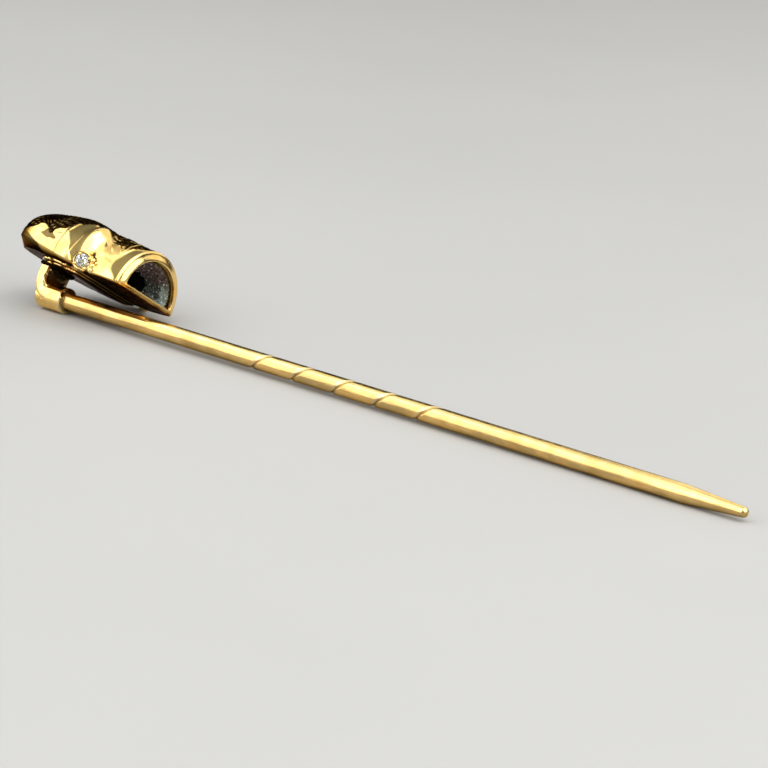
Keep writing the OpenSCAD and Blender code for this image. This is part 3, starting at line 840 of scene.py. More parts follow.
def plate_layer(top, thick, inset, notch_deep, windows):
    """One layer: rings from the middle of its lower face out to the edge, up it and back in.
    The half width follows the table, less the inset and a bump at each notch."""
    s_first, s_last = PLATE[0][0] * HEAD_L + inset / 2, PLATE[-1][0] * HEAD_L - inset / 2
    s = np.linspace(s_first, s_last, 90)
    wide = np.interp(s / HEAD_L, *np.array(PLATE).T) * CROWN_W / 2 - inset
    for place in NOTCHES:
        wide = wide - notch_deep * bell(((s - place) / NOTCH_W) ** 2)
    corner = np.clip(np.minimum(s - s_first, s_last - s) / CORNER_R, 0, 1)
    wide = wide - CORNER_R * (1 - np.sqrt(1 - (1 - corner) ** 2))
    outline_s = np.concatenate([s, s[::-1]])
    outline_y = np.concatenate([-wide, wide[::-1]])
    size, rise = EDGE_PROFILE[:, :1], EDGE_PROFILE[:, 1:]
    middle_s = (s_first + s_last) / 2
    ring_s = middle_s + (outline_s - middle_s) * size
    ring_y = SIDE_SHIFT + outline_y * size
    ring_z = section(outline_s)[1] - top - thick + thick * rise + 0 * ring_s
    ring_z = ring_z + 0.012 * noise(np.stack([ring_s, ring_y, ring_z], axis=-1), 0.5, seed=31)
    grid = np.stack([HEAD_REACH - ring_s, ring_y, ring_z], axis=-1)
    # Painted shade: amber on the lower faces, dark at the end near the mouth and in the windows of the edge
    under = (size < 0.98) * (rise < 0.5) + 0 * ring_s
    front = step(s_first + 0.25 - ring_s, 0, 0.2) * (size > 0.9)
    gaps = sum(bell(((ring_s - place) / WINDOW_W) ** 2) for place in windows) * (size > 0.97)
    return tube(grid, {"dark": np.maximum(0.8 * front, 0.95 * gaps), "amber": under})


plate_shape = joined([
    plate_layer(-PLATE_SINK, PLATE_T / 2 + PLATE_SINK, 0.0, 0.16, (4.9, 6.8)),
    plate_layer(PLATE_T / 2, PLATE_T / 2, PLATE_STEP, 0.12, (5.9, 7.4)),
])
plate = make_piece("back_plate", plate_shape)

# %% [markdown]
# ## The neck strip
#
# The strip leaves the plate at right angles and curls into the end of the collar, like the
# letter C from the side. It was cut from thick sheet, so its edges are softened squares. A
# curve object with a bevel could follow the bend, but its section has to change on the way
# from a flat strip to the round of the collar, so it is swept here. Pale solder lies where it
# meets the plate. Its inner face is lumpy with solder, and painted pale and amber as a
# reflection, with a few painted dark reflections on it.

# %% Sweep of the neck
# Share of the way, along X, up Z, half width, half thickness, and how square the section is
NECK_PATH = [
    [0.00, -2.47, 2.32, 1.30, 0.46, 7.0],
    [0.20, -2.47, 1.80, 1.30, 0.46, 7.0],
    [0.42, -2.46, 1.25, 1.30, 0.46, 7.0],
    [0.60, -2.41, 0.80, 1.26, 0.47, 6.0],
    [0.76, -2.26, 0.38, 1.15, 0.56, 4.0],
    [0.90, -1.93, 0.10, 1.02, 0.80, 2.4],
    [1.00, -1.40, 0.00, 0.95, 0.94, 2.0],
]
# Shares of the way: how far the solder runs from the plate, and where the seam lies
SOLDER_SHARE, SEAM_SHARE = 0.26, 0.72


def neck_strip():
    """A superellipse |y/w|^p + |n/t|^p = 1 carried along a curve in the plane of X and Z,
    with n along the curve's normal, with lumps of solder on it and a fine seam across it."""
    along = np.linspace(0, 1, 110)
    x, z, wide, thick, power = np.moveaxis(through(NECK_PATH, along), -1, 0)
    run_x, run_z = np.gradient(x), np.gradient(z)
    run = np.hypot(run_x, run_z)
    turn = np.linspace(0, 2 * math.pi, 96, endpoint=False)[None, :]
    p = 2 / power[:, None]
    across = wide[:, None] * np.sign(np.cos(turn)) * np.abs(np.cos(turn)) ** p
    out = thick[:, None] * np.sign(np.sin(turn)) * np.abs(np.sin(turn)) ** p
    grid = np.stack([
        x[:, None] + out * (run_z / run)[:, None],
        across,
        z[:, None] - out * (run_x / run)[:, None],
    ], axis=-1)
    lumps = 0.04 * noise(grid, 0.45, seed=41) + 0.02 * noise(grid, 0.2, seed=42)
    at_plate = step(SOLDER_SHARE - along, 0, 0.18)[:, None]
    outward = grid - np.stack([x, 0 * x, z], axis=-1)[:, None, :]
    outward /= np.linalg.norm(outward, axis=-1, keepdims=True)
    inner = step(grid[..., 0] - x[:, None], 0.2, 0.4) * step(grid[..., 2], 0.5, 0.9)
    grid = grid + outward * (lumps * np.maximum(mix(0.12, 1.0, at_plate), 1.7 * inner))[..., None]
    seam = bell((along[:, None] - SEAM_SHARE - 0.04 * noise(grid, 0.5, seed=43)) / 0.010)
    grid = grid - outward * (0.008 * seam)[..., None]
    # Painted reflections on the inner face: dark spots, and pale and amber shares. The pale share at the
    # plate is solder.
    dark_reflection = 0.9 * inner * step(noise(grid, 0.55, seed=44), 0.35, 0.6)
    solder_and_sheen = np.maximum(0.8 * at_plate, 0.6 * inner)
    return tube(grid, {"dark": np.maximum(0.25 * seam, dark_reflection), "solder_and_sheen": solder_and_sheen, "amber": 0.25 * inner})


neck = make_piece("neck_strip", neck_strip())

# %% [markdown]
# ## The collar
#
# The collar is a short thick tube that the shaft is soldered into. Its closed end is
# rounded, its mouth was filed by hand, and the solder has left a wavy dark line there.
# Screw or Spin would turn a profile into a body of revolution. The array does the same in
# one line, and lets the radius wander with the angle for the filed flat and the worn edge.

# %% Profile of the collar
SOLDER_REACH = 0.16
END_ROUND = 0.30
COLLAR_INSET = 0.015
# The mouth's rounded lip: where it starts, its length and its drop
MOUTH_AT, MOUTH_RUN, MOUTH_DROP = -0.10, 0.09, 0.13
# The filed flat: its direction, its distance from the axis as a share of the radius, and
# the cosine past which it can't reach
FILED_AT, FILED_SHARE, FILED_REACH = math.radians(-128), 0.965, 0.2
# Rows along the straight side
SIDE_ROWS = 69


def collar_body():
    """A profile turned about X: radius and place by row, with a hollow fillet of solder at
    the mouth, less a filed flat low on the near side, a wavy mouth and small pits."""
    shell_r = COLLAR_R - COLLAR_INSET
    turn = np.linspace(0, 2 * math.pi, 128, endpoint=False)[None, :]
    end = np.radians(np.linspace(6, 90, 14))
    end_x = 0.02 - COLLAR_L + END_ROUND * (1 - np.cos(end) ** 0.8)
    end_r = shell_r * np.sin(end) ** 0.5
    side_x = after(end_x[-1], MOUTH_AT, SIDE_ROWS)
    lip = np.radians(after(0, 70, 6))
    lip_x, lip_r = MOUTH_AT + MOUTH_RUN * np.sin(lip), shell_r - MOUTH_DROP * (1 - np.cos(lip))
    fillet = np.radians(after(0, 90, 8))
    fillet_x = lip_x[-1] + SOLDER_REACH * (1 - np.cos(fillet))
    fillet_r = lip_r[-1] - (lip_r[-1] - SHAFT_R + 0.01) * np.sin(fillet)
    x = np.concatenate([end_x, side_x, lip_x, fillet_x, fillet_x[-1:] + 0.02])[:, None]
    r = np.concatenate([end_r, np.full(SIDE_ROWS, shell_r), lip_r, fillet_r, [SHAFT_R - 0.1]])[:, None]
    filed = np.cos(turn - FILED_AT)
    flat = FILED_SHARE * shell_r / np.maximum(filed, FILED_REACH)
    r = np.where(filed > FILED_REACH, np.minimum(r, flat), r)
    grid = np.stack([x + 0 * turn, r * np.cos(turn), r * np.sin(turn)], axis=-1)
    wave = 0.06 * noise(grid, 0.42, seed=51) - 0.03
    grid[..., 0] += wave * step(x, -0.4, -0.05)
    pits = step(noise(grid, 0.16, seed=52), 0.45, 0.75) * step(-x, 1.6, 2.2) * step(-np.sin(turn), 0.1, 0.5)
    shrink = 1 - (0.05 * pits + 0.012 * noise(grid, 0.6, seed=53) + 0.012)
    grid[..., 1:] *= shrink[..., None]
    joint = step(0.83 - r, 0, 0.1)
    solder_and_sheen = 0.3 * step(x, -0.5, -0.1) + 0 * turn
    return tube(grid, {"dark": np.clip(0.7 * pits + 0.75 * joint, 0, 1), "solder_and_sheen": solder_and_sheen})


collar = make_piece("collar", collar_body())

# %% [markdown]
# ## Balls: grains, solder and crumbs
#
# Three things on the pin are small round drops: the grains of gold that hold the stones,
# the solder that squeezed out where the strip meets the plate, and the crumbs of old polish
# in the hollow. One ball is worked out once and copied by adding arrays, which is far faster
# than a hundred objects. Each ball of a large crowd has few faces.

# %% A crowd of balls
def balls(middles, radii, stretch=(1, 1, 1), rows=9, columns=14):
    """Closed balls round the given middles: r (sin u cos v, sin u sin v, cos u), stretched
    along the axes, with a pole at each end."""
    u = np.linspace(0, math.pi, rows + 2)[1:-1][:, None]
    v = np.linspace(0, 2 * math.pi, columns, endpoint=False)[None, :]
    unit = np.stack([np.sin(u) * np.cos(v), np.sin(u) * np.sin(v), np.cos(u) + 0 * v], axis=-1)
    unit = np.concatenate([unit.reshape(-1, 3), [[0, 0, 1], [0, 0, -1]]]) * np.array(stretch)
    middles, radii = np.asarray(middles, float), np.asarray(radii, float)
    points = (middles[:, None, :] + radii[:, None, None] * unit).reshape(-1, 3)
    starts = np.arange(len(middles)) * len(unit)
    faces = []
    for block in tube_faces(rows, columns):
        faces.append((block[None] + starts[:, None, None]).reshape(-1, block.shape[1]))
    return points, faces, {"dark": np.zeros(len(points)), "solder_and_sheen": np.zeros(len(points))}


# %% [markdown]
# ## The seats of the stones
#
# Each brilliant stands in a small collet, a tube of gold, with four claws pushed over its
# girdle, and grains raised beside it. The place and lean of the seat come from the skin:
# the stone's middle is where the arch has the stone's height.

# %% Collets, claws and grains
COLLET_T = 0.16


def collet(side):
    """A ring turned about the seat's Z: outer wall, rounded rim and slanted inner wall."""
    outer = STONE_D / 2 + STONE_GAP + COLLET_T - 0.01
    inner = STONE_D / 2 + STONE_GAP
    rim = GIRDLE + 0.6 * STONE_SINK
    profile = np.array([
        [0.05, -0.40], [outer - 0.02, -0.40], [outer, -0.30], [outer, rim - 0.08],
        [outer - 0.03, rim - 0.02], [(outer + inner) / 2, rim], [inner + 0.02, rim - 0.02],
        [inner, rim - 0.07], [inner, 0.0], [inner - 0.06, -0.05], [0.30, -0.33], [0.05, -0.35],
    ])
    turn = np.linspace(0, 2 * math.pi, 64, endpoint=False)[None, :]
    r, z = profile[:, :1], profile[:, 1:]
    grid = np.stack([r * np.cos(turn), r * np.sin(turn), z + 0 * turn], axis=-1)
    grid[..., 2] += 0.02 * noise(grid, 0.3, seed=61) * step(z, 0, 0.1)
    inside = (np.arange(len(profile)) > 6)[:, None] + 0 * turn
    placed = at_stone(grid, side)
    placed[..., 2] = np.maximum(placed[..., 2], BACK_GAP + 0.03)
    return tube(placed, {"dark": 0.5 * inside, "solder_and_sheen": 0 * inside})


def claws(side):
    """Four claws on the rim of the collet, at the corners of a square round the stone."""
    turn = np.radians(np.array([40, 130, 220, 310]))
    reach = STONE_D / 2 + 0.02
    seat = np.stack([reach * np.cos(turn), reach * np.sin(turn), np.full(4, GIRDLE + 0.10)], axis=-1)
    return balls(at_stone(seat, side), np.full(4, 0.13), rows=11, columns=18)


# Distance from the open end, angle above the edge, radius
GRAINS = [[3.02, 14.0, 0.24], [2.84, 8.0, 0.22], [2.88, 2.6, 0.20], [3.36, 19.0, 0.19], [2.54, 12.0, 0.16]]


def grains(side):
    """Raised grains beside the seat, set on the skin by distance and angle."""
    s, angle, radius = np.array(GRAINS).T
    half, back, low, crest, flat, full = section(s)
    a = np.radians(angle)
    r = ((np.cos(a) / half) ** full + (np.sin(a) / (crest - low)) ** full) ** (-1 / full)
    r = r + relief(s, angle, half)[0] - 0.5 * radius
    places = np.stack([HEAD_REACH - s, SIDE_SHIFT + side * r * np.cos(a), low + r * np.sin(a)], axis=-1)
    return balls(places, radius, rows=13, columns=22)


seat_shape = joined([make(side) for side in (-1, 1) for make in (collet, claws, grains)])
seats = make_piece("stone_seats", seat_shape)

# %% [markdown]
# ## The brilliants
#
# A round brilliant has 57 facets, each flat. The kite facets fix the rest: a corner shared
# by two kites lies where their planes meet, so its height follows from its distance by one
# line of arithmetic. The stones are cut that way here, and stay flat shaded, because a
# smooth shaded diamond looks like glass.

# %% Cut of a brilliant
TABLE_SHARE = 0.58
CROWN_UP = 0.16 * STONE_D
PAVILION = 0.42 * STONE_D


def brilliant(side):
    """57 facets: the table, 8 stars, 8 kites and 16 halves above a thin girdle, and 16 halves
    with 8 kites below it. Crown kite corners lie at up (1 - (m cos 22.5 - t) / (R - t))."""
    stone_r = STONE_D / 2 - 0.01
    table_r, star_r, low_r = TABLE_SHARE * stone_r, 0.80 * stone_r, 0.40 * stone_r
    eighth = math.radians(45)
    k = np.arange(8)

    def ring(radius, height, shift, count=8):
        turn = np.arange(count) * 2 * math.pi / count + shift
        return np.stack([radius * np.cos(turn), radius * np.sin(turn), np.full(count, height)], axis=-1)

    top = GIRDLE + CROWN_UP
    star_z = GIRDLE + CROWN_UP * (1 - (star_r * math.cos(eighth / 2) - table_r) / (stone_r - table_r))
    low_z = -PAVILION * (1 - low_r * math.cos(eighth / 2) / stone_r)
    points = np.concatenate([
        ring(table_r, top, 0), ring(star_r, star_z, eighth / 2), ring(stone_r, GIRDLE, 0, 16),
        ring(stone_r, 0, 0, 16), ring(low_r, low_z, eighth / 2), [[0, 0, -PAVILION]],
    ])
    table, star, upper, lower, deep, culet = 0, 8, 16, 32, 48, 56
    following, before = (k + 1) % 8, (k - 1) % 8
    g = np.arange(16)
    kites = np.stack([table + k, star + before, upper + 2 * k, star + k], axis=-1)
    girdle = np.stack([upper + g, lower + g, lower + (g + 1) % 16, upper + (g + 1) % 16], axis=-1)
    low_kites = np.stack([lower + 2 * k, deep + before, np.full(8, culet), deep + k], axis=-1)
    stars = np.stack([table + k, star + k, table + following], axis=-1)
    halves = np.stack([star + k, upper + 2 * k, upper + 2 * k + 1], axis=-1)
    more_halves = np.stack([star + k, upper + 2 * k + 1, upper + (2 * k + 2) % 16], axis=-1)
    low_halves = np.stack([deep + k, lower + 2 * k + 1, lower + 2 * k], axis=-1)
    more_low = np.stack([deep + k, lower + (2 * k + 2) % 16, lower + 2 * k + 1], axis=-1)
    faces = [
        (table + k)[None, :], kites, girdle, low_kites, stars, halves, more_halves, low_halves, more_low,
    ]
    return at_stone(points, side), faces, {}


near_stone = make_piece("near_brilliant", brilliant(-1), replaces=["near_stone"], smooth=False)
far_stone = make_piece("far_brilliant", brilliant(1), replaces=["far_stone"], smooth=False)

# %% [markdown]
# ## Crumbs and solder
#
# Crumbs of polish stand out from the caked wall, and a few catch the light. They are placed
# on the wall's own points, picked by a seeded draw, so each one is half buried. The solder
# drops follow the edge of the strip where it meets the plate.

# %% Crumbs in the hollow, drops at the neck
def crumbs():
    """Small balls on the caked wall of the hollow, a crowd of low ones with few faces."""
    points, faces, values = head_shape
    loose = np.flatnonzero((values["cake"] > 0.9) & (values["deep"] < 0.9))
    draw = np.random.default_rng(5)
    chosen = points[draw.choice(loose, 520, replace=False)]
    points, faces, values = balls(chosen, draw.uniform(0.02, 0.075, len(chosen)), rows=3, columns=6)
    mauve, bloom = stains(chosen)
    bright = np.clip(draw.uniform(0, 1, len(chosen)) ** 7 + bloom * draw.uniform(0.2, 1, len(chosen)), 0, 1)
    for name, value in (("pale", bright), ("mauve", mauve), ("bloom", bloom)):
        values[name] = np.repeat(value, len(points) // len(chosen))
    return points, faces, values


def drops():
    """Drops of solder round the top of the strip, each flattened against the plate and
    turned near black by a full dark share."""
    turn = np.linspace(0, 2 * math.pi, 26, endpoint=False)
    x = -2.45 + 0.46 * np.sign(np.cos(turn)) * np.abs(np.cos(turn)) ** 0.45
    y = 1.30 * np.sign(np.sin(turn)) * np.abs(np.sin(turn)) ** 0.45
    z = np.full(26, 2.04)
    places = np.stack([x, y, z], axis=-1)
    places += 0.05 * np.stack([noise(places, 0.3, seed=n) for n in (71, 72, 73)], axis=-1)
    radii = 0.23 + 0.07 * noise(places, 0.4, seed=74)
    points, faces, values = balls(places, radii, stretch=(1.2, 1.2, 0.8), rows=11, columns=18)
    for name in ("dark", "solder_and_sheen"):
        values[name][:] = 1
    return points, faces, values


crumb_piece = make_piece("hollow_crumbs", crumbs())
drop_piece = make_piece("neck_solder", drops())

# %% [markdown]
# ## The shaft
#
# The shaft is drawn wire with five turns of a shallow spiral groove, cut so that cloth
# grips it, and a blunt tapered tip. A screw modifier on a cutter would need a boolean, which
# leaves ragged faces. Instead each point of a fine grid knows how far it is from the groove,
# because the groove's line is where the angle and the distance keep step.

# %% Shaft with its groove
GROOVE_START = 18.4
GROOVE_PITCH = 3.85
GROOVE_TURNS = 5
GROOVE_DEPTH = 0.1
GROOVE_W = 0.4
SHAFT_INSET = 0.004
# How far the pin is rolled about the shaft at rest, in degrees
REST_ROLL = 30.5


def shaft_body():
    """A profile turned about X. The groove is a notch in the radius, steep on the head's
    side: its depth falls off with (x - the groove's line), where that line is at
    start + pitch * (turns so far), and the turn runs against the angle, left-handed."""
    plain = np.linspace(-0.4, GROOVE_START - 1, 60)
    grooved = after(GROOVE_START - 1, GROOVE_START + GROOVE_PITCH * GROOVE_TURNS + 1, 469)
    smooth = after(grooved[-1], SHAFT_L - TAPER_L, 49)
    taper = after(SHAFT_L - TAPER_L, SHAFT_L - TIP_R, 19)
    tip = np.radians(after(0, 86, 11))
    x = np.concatenate([plain, grooved, smooth, taper, SHAFT_L - TIP_R + TIP_R * np.sin(tip)])
    narrowing = np.clip((x - SHAFT_L + TAPER_L) / (TAPER_L - TIP_R), 0, 1)
    r = mix(SHAFT_R, TIP_R, narrowing)
    r = np.where(x > SHAFT_L - TIP_R, np.sqrt(np.maximum(TIP_R**2 - (x - SHAFT_L + TIP_R) ** 2, 0)), r)
    r = r - SHAFT_INSET
    turn = np.linspace(0, 2 * math.pi, 112, endpoint=False)[None, :]
    x, r = x[:, None], r[:, None]
    turns = (x - GROOVE_START) / GROOVE_PITCH + turn / (2 * math.pi)
    nearest = np.round(turns)
    gap = (turns - nearest) * GROOVE_PITCH
    # The cut runs from angle 0 at its start to angle 0 again after the last turn
    length = turn / (2 * math.pi)
    cut_from, cut_to = step(nearest - length, -0.02, 0.10), step(GROOVE_TURNS - nearest + length, -0.02, 0.10)
    wall_head = step(gap, -0.2 * GROOVE_W, 0)
    wall_tip = 1 - step(gap, 0, 0.8 * GROOVE_W)
    notch = wall_head * wall_tip * cut_from * cut_to
    shoulder = step(gap, -0.9 * GROOVE_W, 0) * (gap < 0) * cut_from * cut_to
    grid = np.stack([x + 0 * turn, np.cos(turn) + 0 * x, np.sin(turn) + 0 * x], axis=-1)
    drawn = 0.006 * noise(grid * np.array([0.05, 1, 1]), 0.09, seed=81)
    drawn = drawn + 0.01 * noise(grid * np.array([0.2, 1, 1]), 0.9, seed=82)
    radius = r * (1 - 0.012 + drawn) - GROOVE_DEPTH * np.maximum(notch, 0.45 * shoulder)
    grid[..., 1:] *= radius[..., None]
    heel = bell((x - 0.12) / 0.14) * (0.8 + 0.4 * noise(grid, 0.3, seed=83))
    # Painted shade in the foot of the groove, and a dark joint at the collar
    dark = 0.65 * bell((gap + 0.02) / 0.06) * cut_from * cut_to + 0.6 * heel
    # Painted highlight: a pale band on the head's side of each groove
    wear_and_glint = bell((gap + 0.28) / 0.14) * cut_from * cut_to
    # Painted amber shade on the underside, as the pin rests
    below = step(-np.cos(turn - math.radians(90 - REST_ROLL)), 0.0, 0.9) + 0 * x
    return tube(grid, {"dark": np.clip(dark, 0, 1), "solder_and_sheen": 0.9 * wear_and_glint, "amber": 0.55 * below})


shaft = make_piece("shaft_body", shaft_body(), replaces=["shaft"])

# %% [markdown]
# ## Gold
#
# Polished gold has hardly a colour of its own: it tints what it mirrors, so most of its look
# is the light round it. What the material adds is small. The polish is uneven, fine
# scratches run along the wire, the cuts of the chasing keep a dark skin, and the hatched
# fields are dull and olive. All of it is driven by the values that the surfaces carry, so
# colour and shape agree. Patterns read Object coordinates, scaled to millimetres.

# %% Node helpers
def new_material(name):
    """An empty node material with its shader and a texture coordinate in millimetres."""
    material = bpy.data.materials.new(name)
    material.use_nodes = True
    tree = material.node_tree
    shader = tree.nodes["Principled BSDF"]
    place = tree.nodes.new("ShaderNodeTexCoord")
    scale = tree.nodes.new("ShaderNodeMapping")
    scale.inputs["Scale"].default_value = (1 / MM,) * 3
    tree.links.new(place.outputs["Object"], scale.inputs["Vector"])
    return material, tree, shader, scale.outputs["Vector"]


def noise_node(tree, vector, scale, detail=3.0, stretch=None):
    """A Noise texture at so many lumps to the millimetre, stretched along the axes."""
    if stretch:
        mapping = tree.nodes.new("ShaderNodeMapping")
        mapping.inputs["Scale"].default_value = stretch
        tree.links.new(vector, mapping.inputs["Vector"])
        vector = mapping.outputs["Vector"]
    node = tree.nodes.new("ShaderNodeTexNoise")
    node.inputs["Scale"].default_value = scale
    node.inputs["Detail"].default_value = detail
    tree.links.new(vector, node.inputs["Vector"])
    return node.outputs["Fac"]


def value_of(tree, name):
    """The value that the surface carries under this name."""
    node = tree.nodes.new("ShaderNodeAttribute")
    node.attribute_name = name
    return node.outputs["Fac"]


def blend_colour(tree, factor, first, second):
    """First colour where the factor is 0, second where it is 1. Each is a colour or a link."""
    node = tree.nodes.new("ShaderNodeMix")
    node.data_type = "RGBA"
    for socket, colour in ((node.inputs[6], first), (node.inputs[7], second)):
        if isinstance(colour, tuple):
            socket.default_value = colour + (1.0,)
        else:
            tree.links.new(colour, socket)
    tree.links.new(factor, node.inputs[0])
    return node.outputs[2]


def ranged(tree, value, low, high, start=0.0, end=1.0):
    """Maps a value from one range onto another."""
    node = tree.nodes.new("ShaderNodeMapRange")
    for name, number in (("From Min", start), ("From Max", end), ("To Min", low), ("To Max", high)):
        node.inputs[name].default_value = number
    tree.links.new(value, node.inputs["Value"])
    return node.outputs["Result"]


def sum_of(tree, first, second):
    """Two values added."""
    node = tree.nodes.new("ShaderNodeMath")
    tree.links.new(first, node.inputs[0])
    tree.links.new(second, node.inputs[1])
    return node.outputs[0]


def bump(tree, height, depth, below=None):
    """Bump of a real depth in millimetres, on top of another one if given."""
    node = tree.nodes.new("ShaderNodeBump")
    node.inputs["Distance"].default_value = depth * MM
    tree.links.new(height, node.inputs["Height"])
    if below is not None:
        tree.links.new(below, node.inputs["Normal"])
    return node.outputs["Normal"]


# %% [markdown]
# Two golds are needed: the head is rich yellow with chased fields, and the shaft is a little
# paler with lengthwise drawing lines. One function makes both, because only the numbers
# differ. The dark skin in the cuts is not metal any more, but it is so thin that a dull,
# nearly black gold reads better than a grey paint.

# %% The two golds
OLIVE = (0.105, 0.084, 0.030)
UMBER = (0.013, 0.008, 0.004)
GRAZING = (0.10, 0.06, 0.03)
AMBER, AMBER_DEEP = (0.62, 0.33, 0.09), (0.16, 0.065, 0.015)
PALE_SOLDER_AND_SHEEN = (0.95, 0.78, 0.42)


def gold(name, yellow, deep_yellow, roughness, scratch_stretch, hatched=False):
    """Polished gold with uneven polish and scratches, pale solder with painted highlights and reflections,
    dark cuts with painted shade, and an amber share of painted shade on faces turned down.
    """
    material, tree, shader, place = new_material(name)
    shader.inputs["Metallic"].default_value = 1.0
    cloud = noise_node(tree, place, 0.9)
    colour = blend_colour(tree, ranged(tree, cloud, 0, 1, 0.35, 0.65), yellow, deep_yellow)
    # The pale share: solder, a painted highlight at the shaft's grooves, and a painted reflection on the
    # neck's inner face
    colour = blend_colour(tree, value_of(tree, "solder_and_sheen"), colour, PALE_SOLDER_AND_SHEEN)
    streaks = ranged(tree, noise_node(tree, place, 1.3, 3.0, (0.3, 1, 1)), 0, 1, 0.42, 0.62)
    # Amber: painted shade on faces turned to the floor, and a painted reflection on the neck's inner face
    amber_tone = blend_colour(tree, streaks, AMBER_DEEP, AMBER)
    colour = blend_colour(tree, value_of(tree, "amber"), colour, amber_tone)
    dull = ranged(tree, noise_node(tree, place, 2.5), roughness, roughness + 0.10, 0.35, 0.7)
    scratches = noise_node(tree, place, 14.0, 2.0, scratch_stretch)
    normal = bump(tree, scratches, 0.004)
    if hatched:
        colour = blend_colour(tree, ranged(tree, value_of(tree, "hatch"), 0, 0.9), colour, OLIVE)
        dull = sum_of(tree, dull, ranged(tree, value_of(tree, "hatch"), 0, 0.22))
        normal = hatch_bump(tree, normal)
    colour = blend_colour(tree, value_of(tree, "dark"), colour, UMBER)
    dull = sum_of(tree, dull, ranged(tree, value_of(tree, "dark"), 0, 0.20))
    # The colour of glancing reflections: without it, dark parts would mirror the pale floor
    grazing = blend_colour(tree, value_of(tree, "amber"), (1.0, 0.93, 0.75), AMBER_DEEP)
    grazing = blend_colour(tree, value_of(tree, "dark"), grazing, GRAZING)
    tree.links.new(colour, shader.inputs["Base Color"])
    tree.links.new(grazing, shader.inputs["Specular Tint"])
    tree.links.new(dull, shader.inputs["Roughness"])
    tree.links.new(normal, shader.inputs["Normal"])
    return material, tree, shader, place


def hatch_bump(tree, below):
    """Fine cuts across the sunk fields, crossed by a second set, faded in by the hatch."""
    where = tree.nodes.new("ShaderNodeAttribute")
    where.attribute_name = "skin_place"
    waves = []
    for turn in (0.5, -0.7):
        mapping = tree.nodes.new("ShaderNodeMapping")
        mapping.inputs["Rotation"].default_value = (0, 0, turn)
        tree.links.new(where.outputs["Vector"], mapping.inputs["Vector"])
        wave = tree.nodes.new("ShaderNodeTexWave")
        wave.inputs["Scale"].default_value = 3.6
        wave.inputs["Distortion"].default_value = 2.0
        tree.links.new(mapping.outputs["Vector"], wave.inputs["Vector"])
        waves.append(wave.outputs["Fac"])
    both = sum_of(tree, *waves)
    fade = tree.nodes.new("ShaderNodeMath")
    fade.operation = "MULTIPLY"
    tree.links.new(both, fade.inputs[0])
    tree.links.new(value_of(tree, "hatch"), fade.inputs[1])
    return bump(tree, fade.outputs[0], 0.010, below)


RICH, RICH_DEEP = (0.95, 0.68, 0.26), (0.88, 0.57, 0.17)
PALE, PALE_DEEP = (0.96, 0.73, 0.31), (0.90, 0.63, 0.22)
fine_gold = gold("fine_gold", RICH, RICH_DEEP, 0.13, (1, 1, 1))[0]
wire_gold = gold("wire_gold", PALE, PALE_DEEP, 0.15, (0.05, 1, 1))[0]
for piece in (plate, neck, collar, seats, drop_piece):
    piece.data.materials.append(fine_gold)
shaft.data.materials.append(wire_gold)

# %% [markdown]
# The head uses the same gold, and beyond the lip it turns into caked polish: grey and
# teal grains with white specks, then black in the deep hollow. It is one material with a
# blend inside, driven by two of the surface's values, so the bevel of the lip meets the cake
# at a ragged line and not at a seam between two pieces.

# %% The head's gold and its caked hollow
CAKE_GREY, CAKE_TEAL, CAKE_WHITE = (0.045, 0.048, 0.040), (0.15, 0.18, 0.155), (0.90, 0.95, 0.93)
CAKE_MAUVE, CAKE_BLOOM = (0.16, 0.075, 0.085), (0.55, 0.68, 0.64)
SOOT = (0.004, 0.004, 0.004)


def cake_colour(tree, place):
    """Grey grains with teal and white specks, darkening to soot in the deep hollow."""
    grain = noise_node(tree, place, 6.0, 4.0)
    colour = blend_colour(tree, ranged(tree, grain, 0, 1, 0.45, 0.6), CAKE_GREY, CAKE_TEAL)
    colour = blend_colour(tree, ranged(tree, value_of(tree, "mauve"), 0, 0.7), colour, CAKE_MAUVE)
    colour = blend_colour(tree, ranged(tree, value_of(tree, "bloom"), 0, 0.75), colour, CAKE_BLOOM)
    specks = noise_node(tree, place, 8.0, 1.0)
    colour = blend_colour(tree, ranged(tree, specks, 0, 1, 0.64, 0.70), colour, CAKE_WHITE)
    return blend_colour(tree, value_of(tree, "deep"), colour, SOOT), grain


def chased_gold():
    """The head's material: the fine gold, hatched, blended with the cake behind the lip."""
    material, tree, shader, place = gold("chased_gold", RICH, RICH_DEEP, 0.13, (1, 1, 1), hatched=True)
    cake, grain = cake_colour(tree, place)
    ragged = sum_of(tree, value_of(tree, "cake"), ranged(tree, grain, -0.25, 0.25, 0.3, 0.7))
    where = ranged(tree, ragged, 0, 1, 0.35, 0.65)
    gold_colour = shader.inputs["Base Color"].links[0].from_socket
    gold_dull = shader.inputs["Roughness"].links[0].from_socket
    tree.links.new(blend_colour(tree, where, gold_colour, cake), shader.inputs["Base Color"])
    tree.links.new(sum_of(tree, gold_dull, ranged(tree, where, 0, 0.5)), shader.inputs["Roughness"])
    tree.links.new(ranged(tree, where, 1, 0.15), shader.inputs["Metallic"])
    return material


head.data.materials.append(chased_gold())


def crumb_material():
    """Polish crumbs: the cake's colours on a half gloss, like dry wax."""
    material, tree, shader, place = new_material("polish_crumbs")
    cake, grain = cake_colour(tree, place)
    cake = blend_colour(tree, value_of(tree, "pale"), cake, CAKE_WHITE)
    tree.links.new(cake, shader.inputs["Base Color"])
    tree.links.new(ranged(tree, grain, 0.25, 0.6), shader.inputs["Roughness"])
    tree.links.new(bump(tree, grain, 0.02), shader.inputs["Normal"])
    return material


crumb_piece.data.materials.append(crumb_material())

# %% [markdown]
# ## Diamond
#
# Diamond bends light far more than glass does, with an index of 2.42, so its facets flash
# white beside black. A true transmission needs many bounces to show it. The index does most
# of the work, and a slight cool tint and faint polish lines keep the facets from looking
# like plain glass.

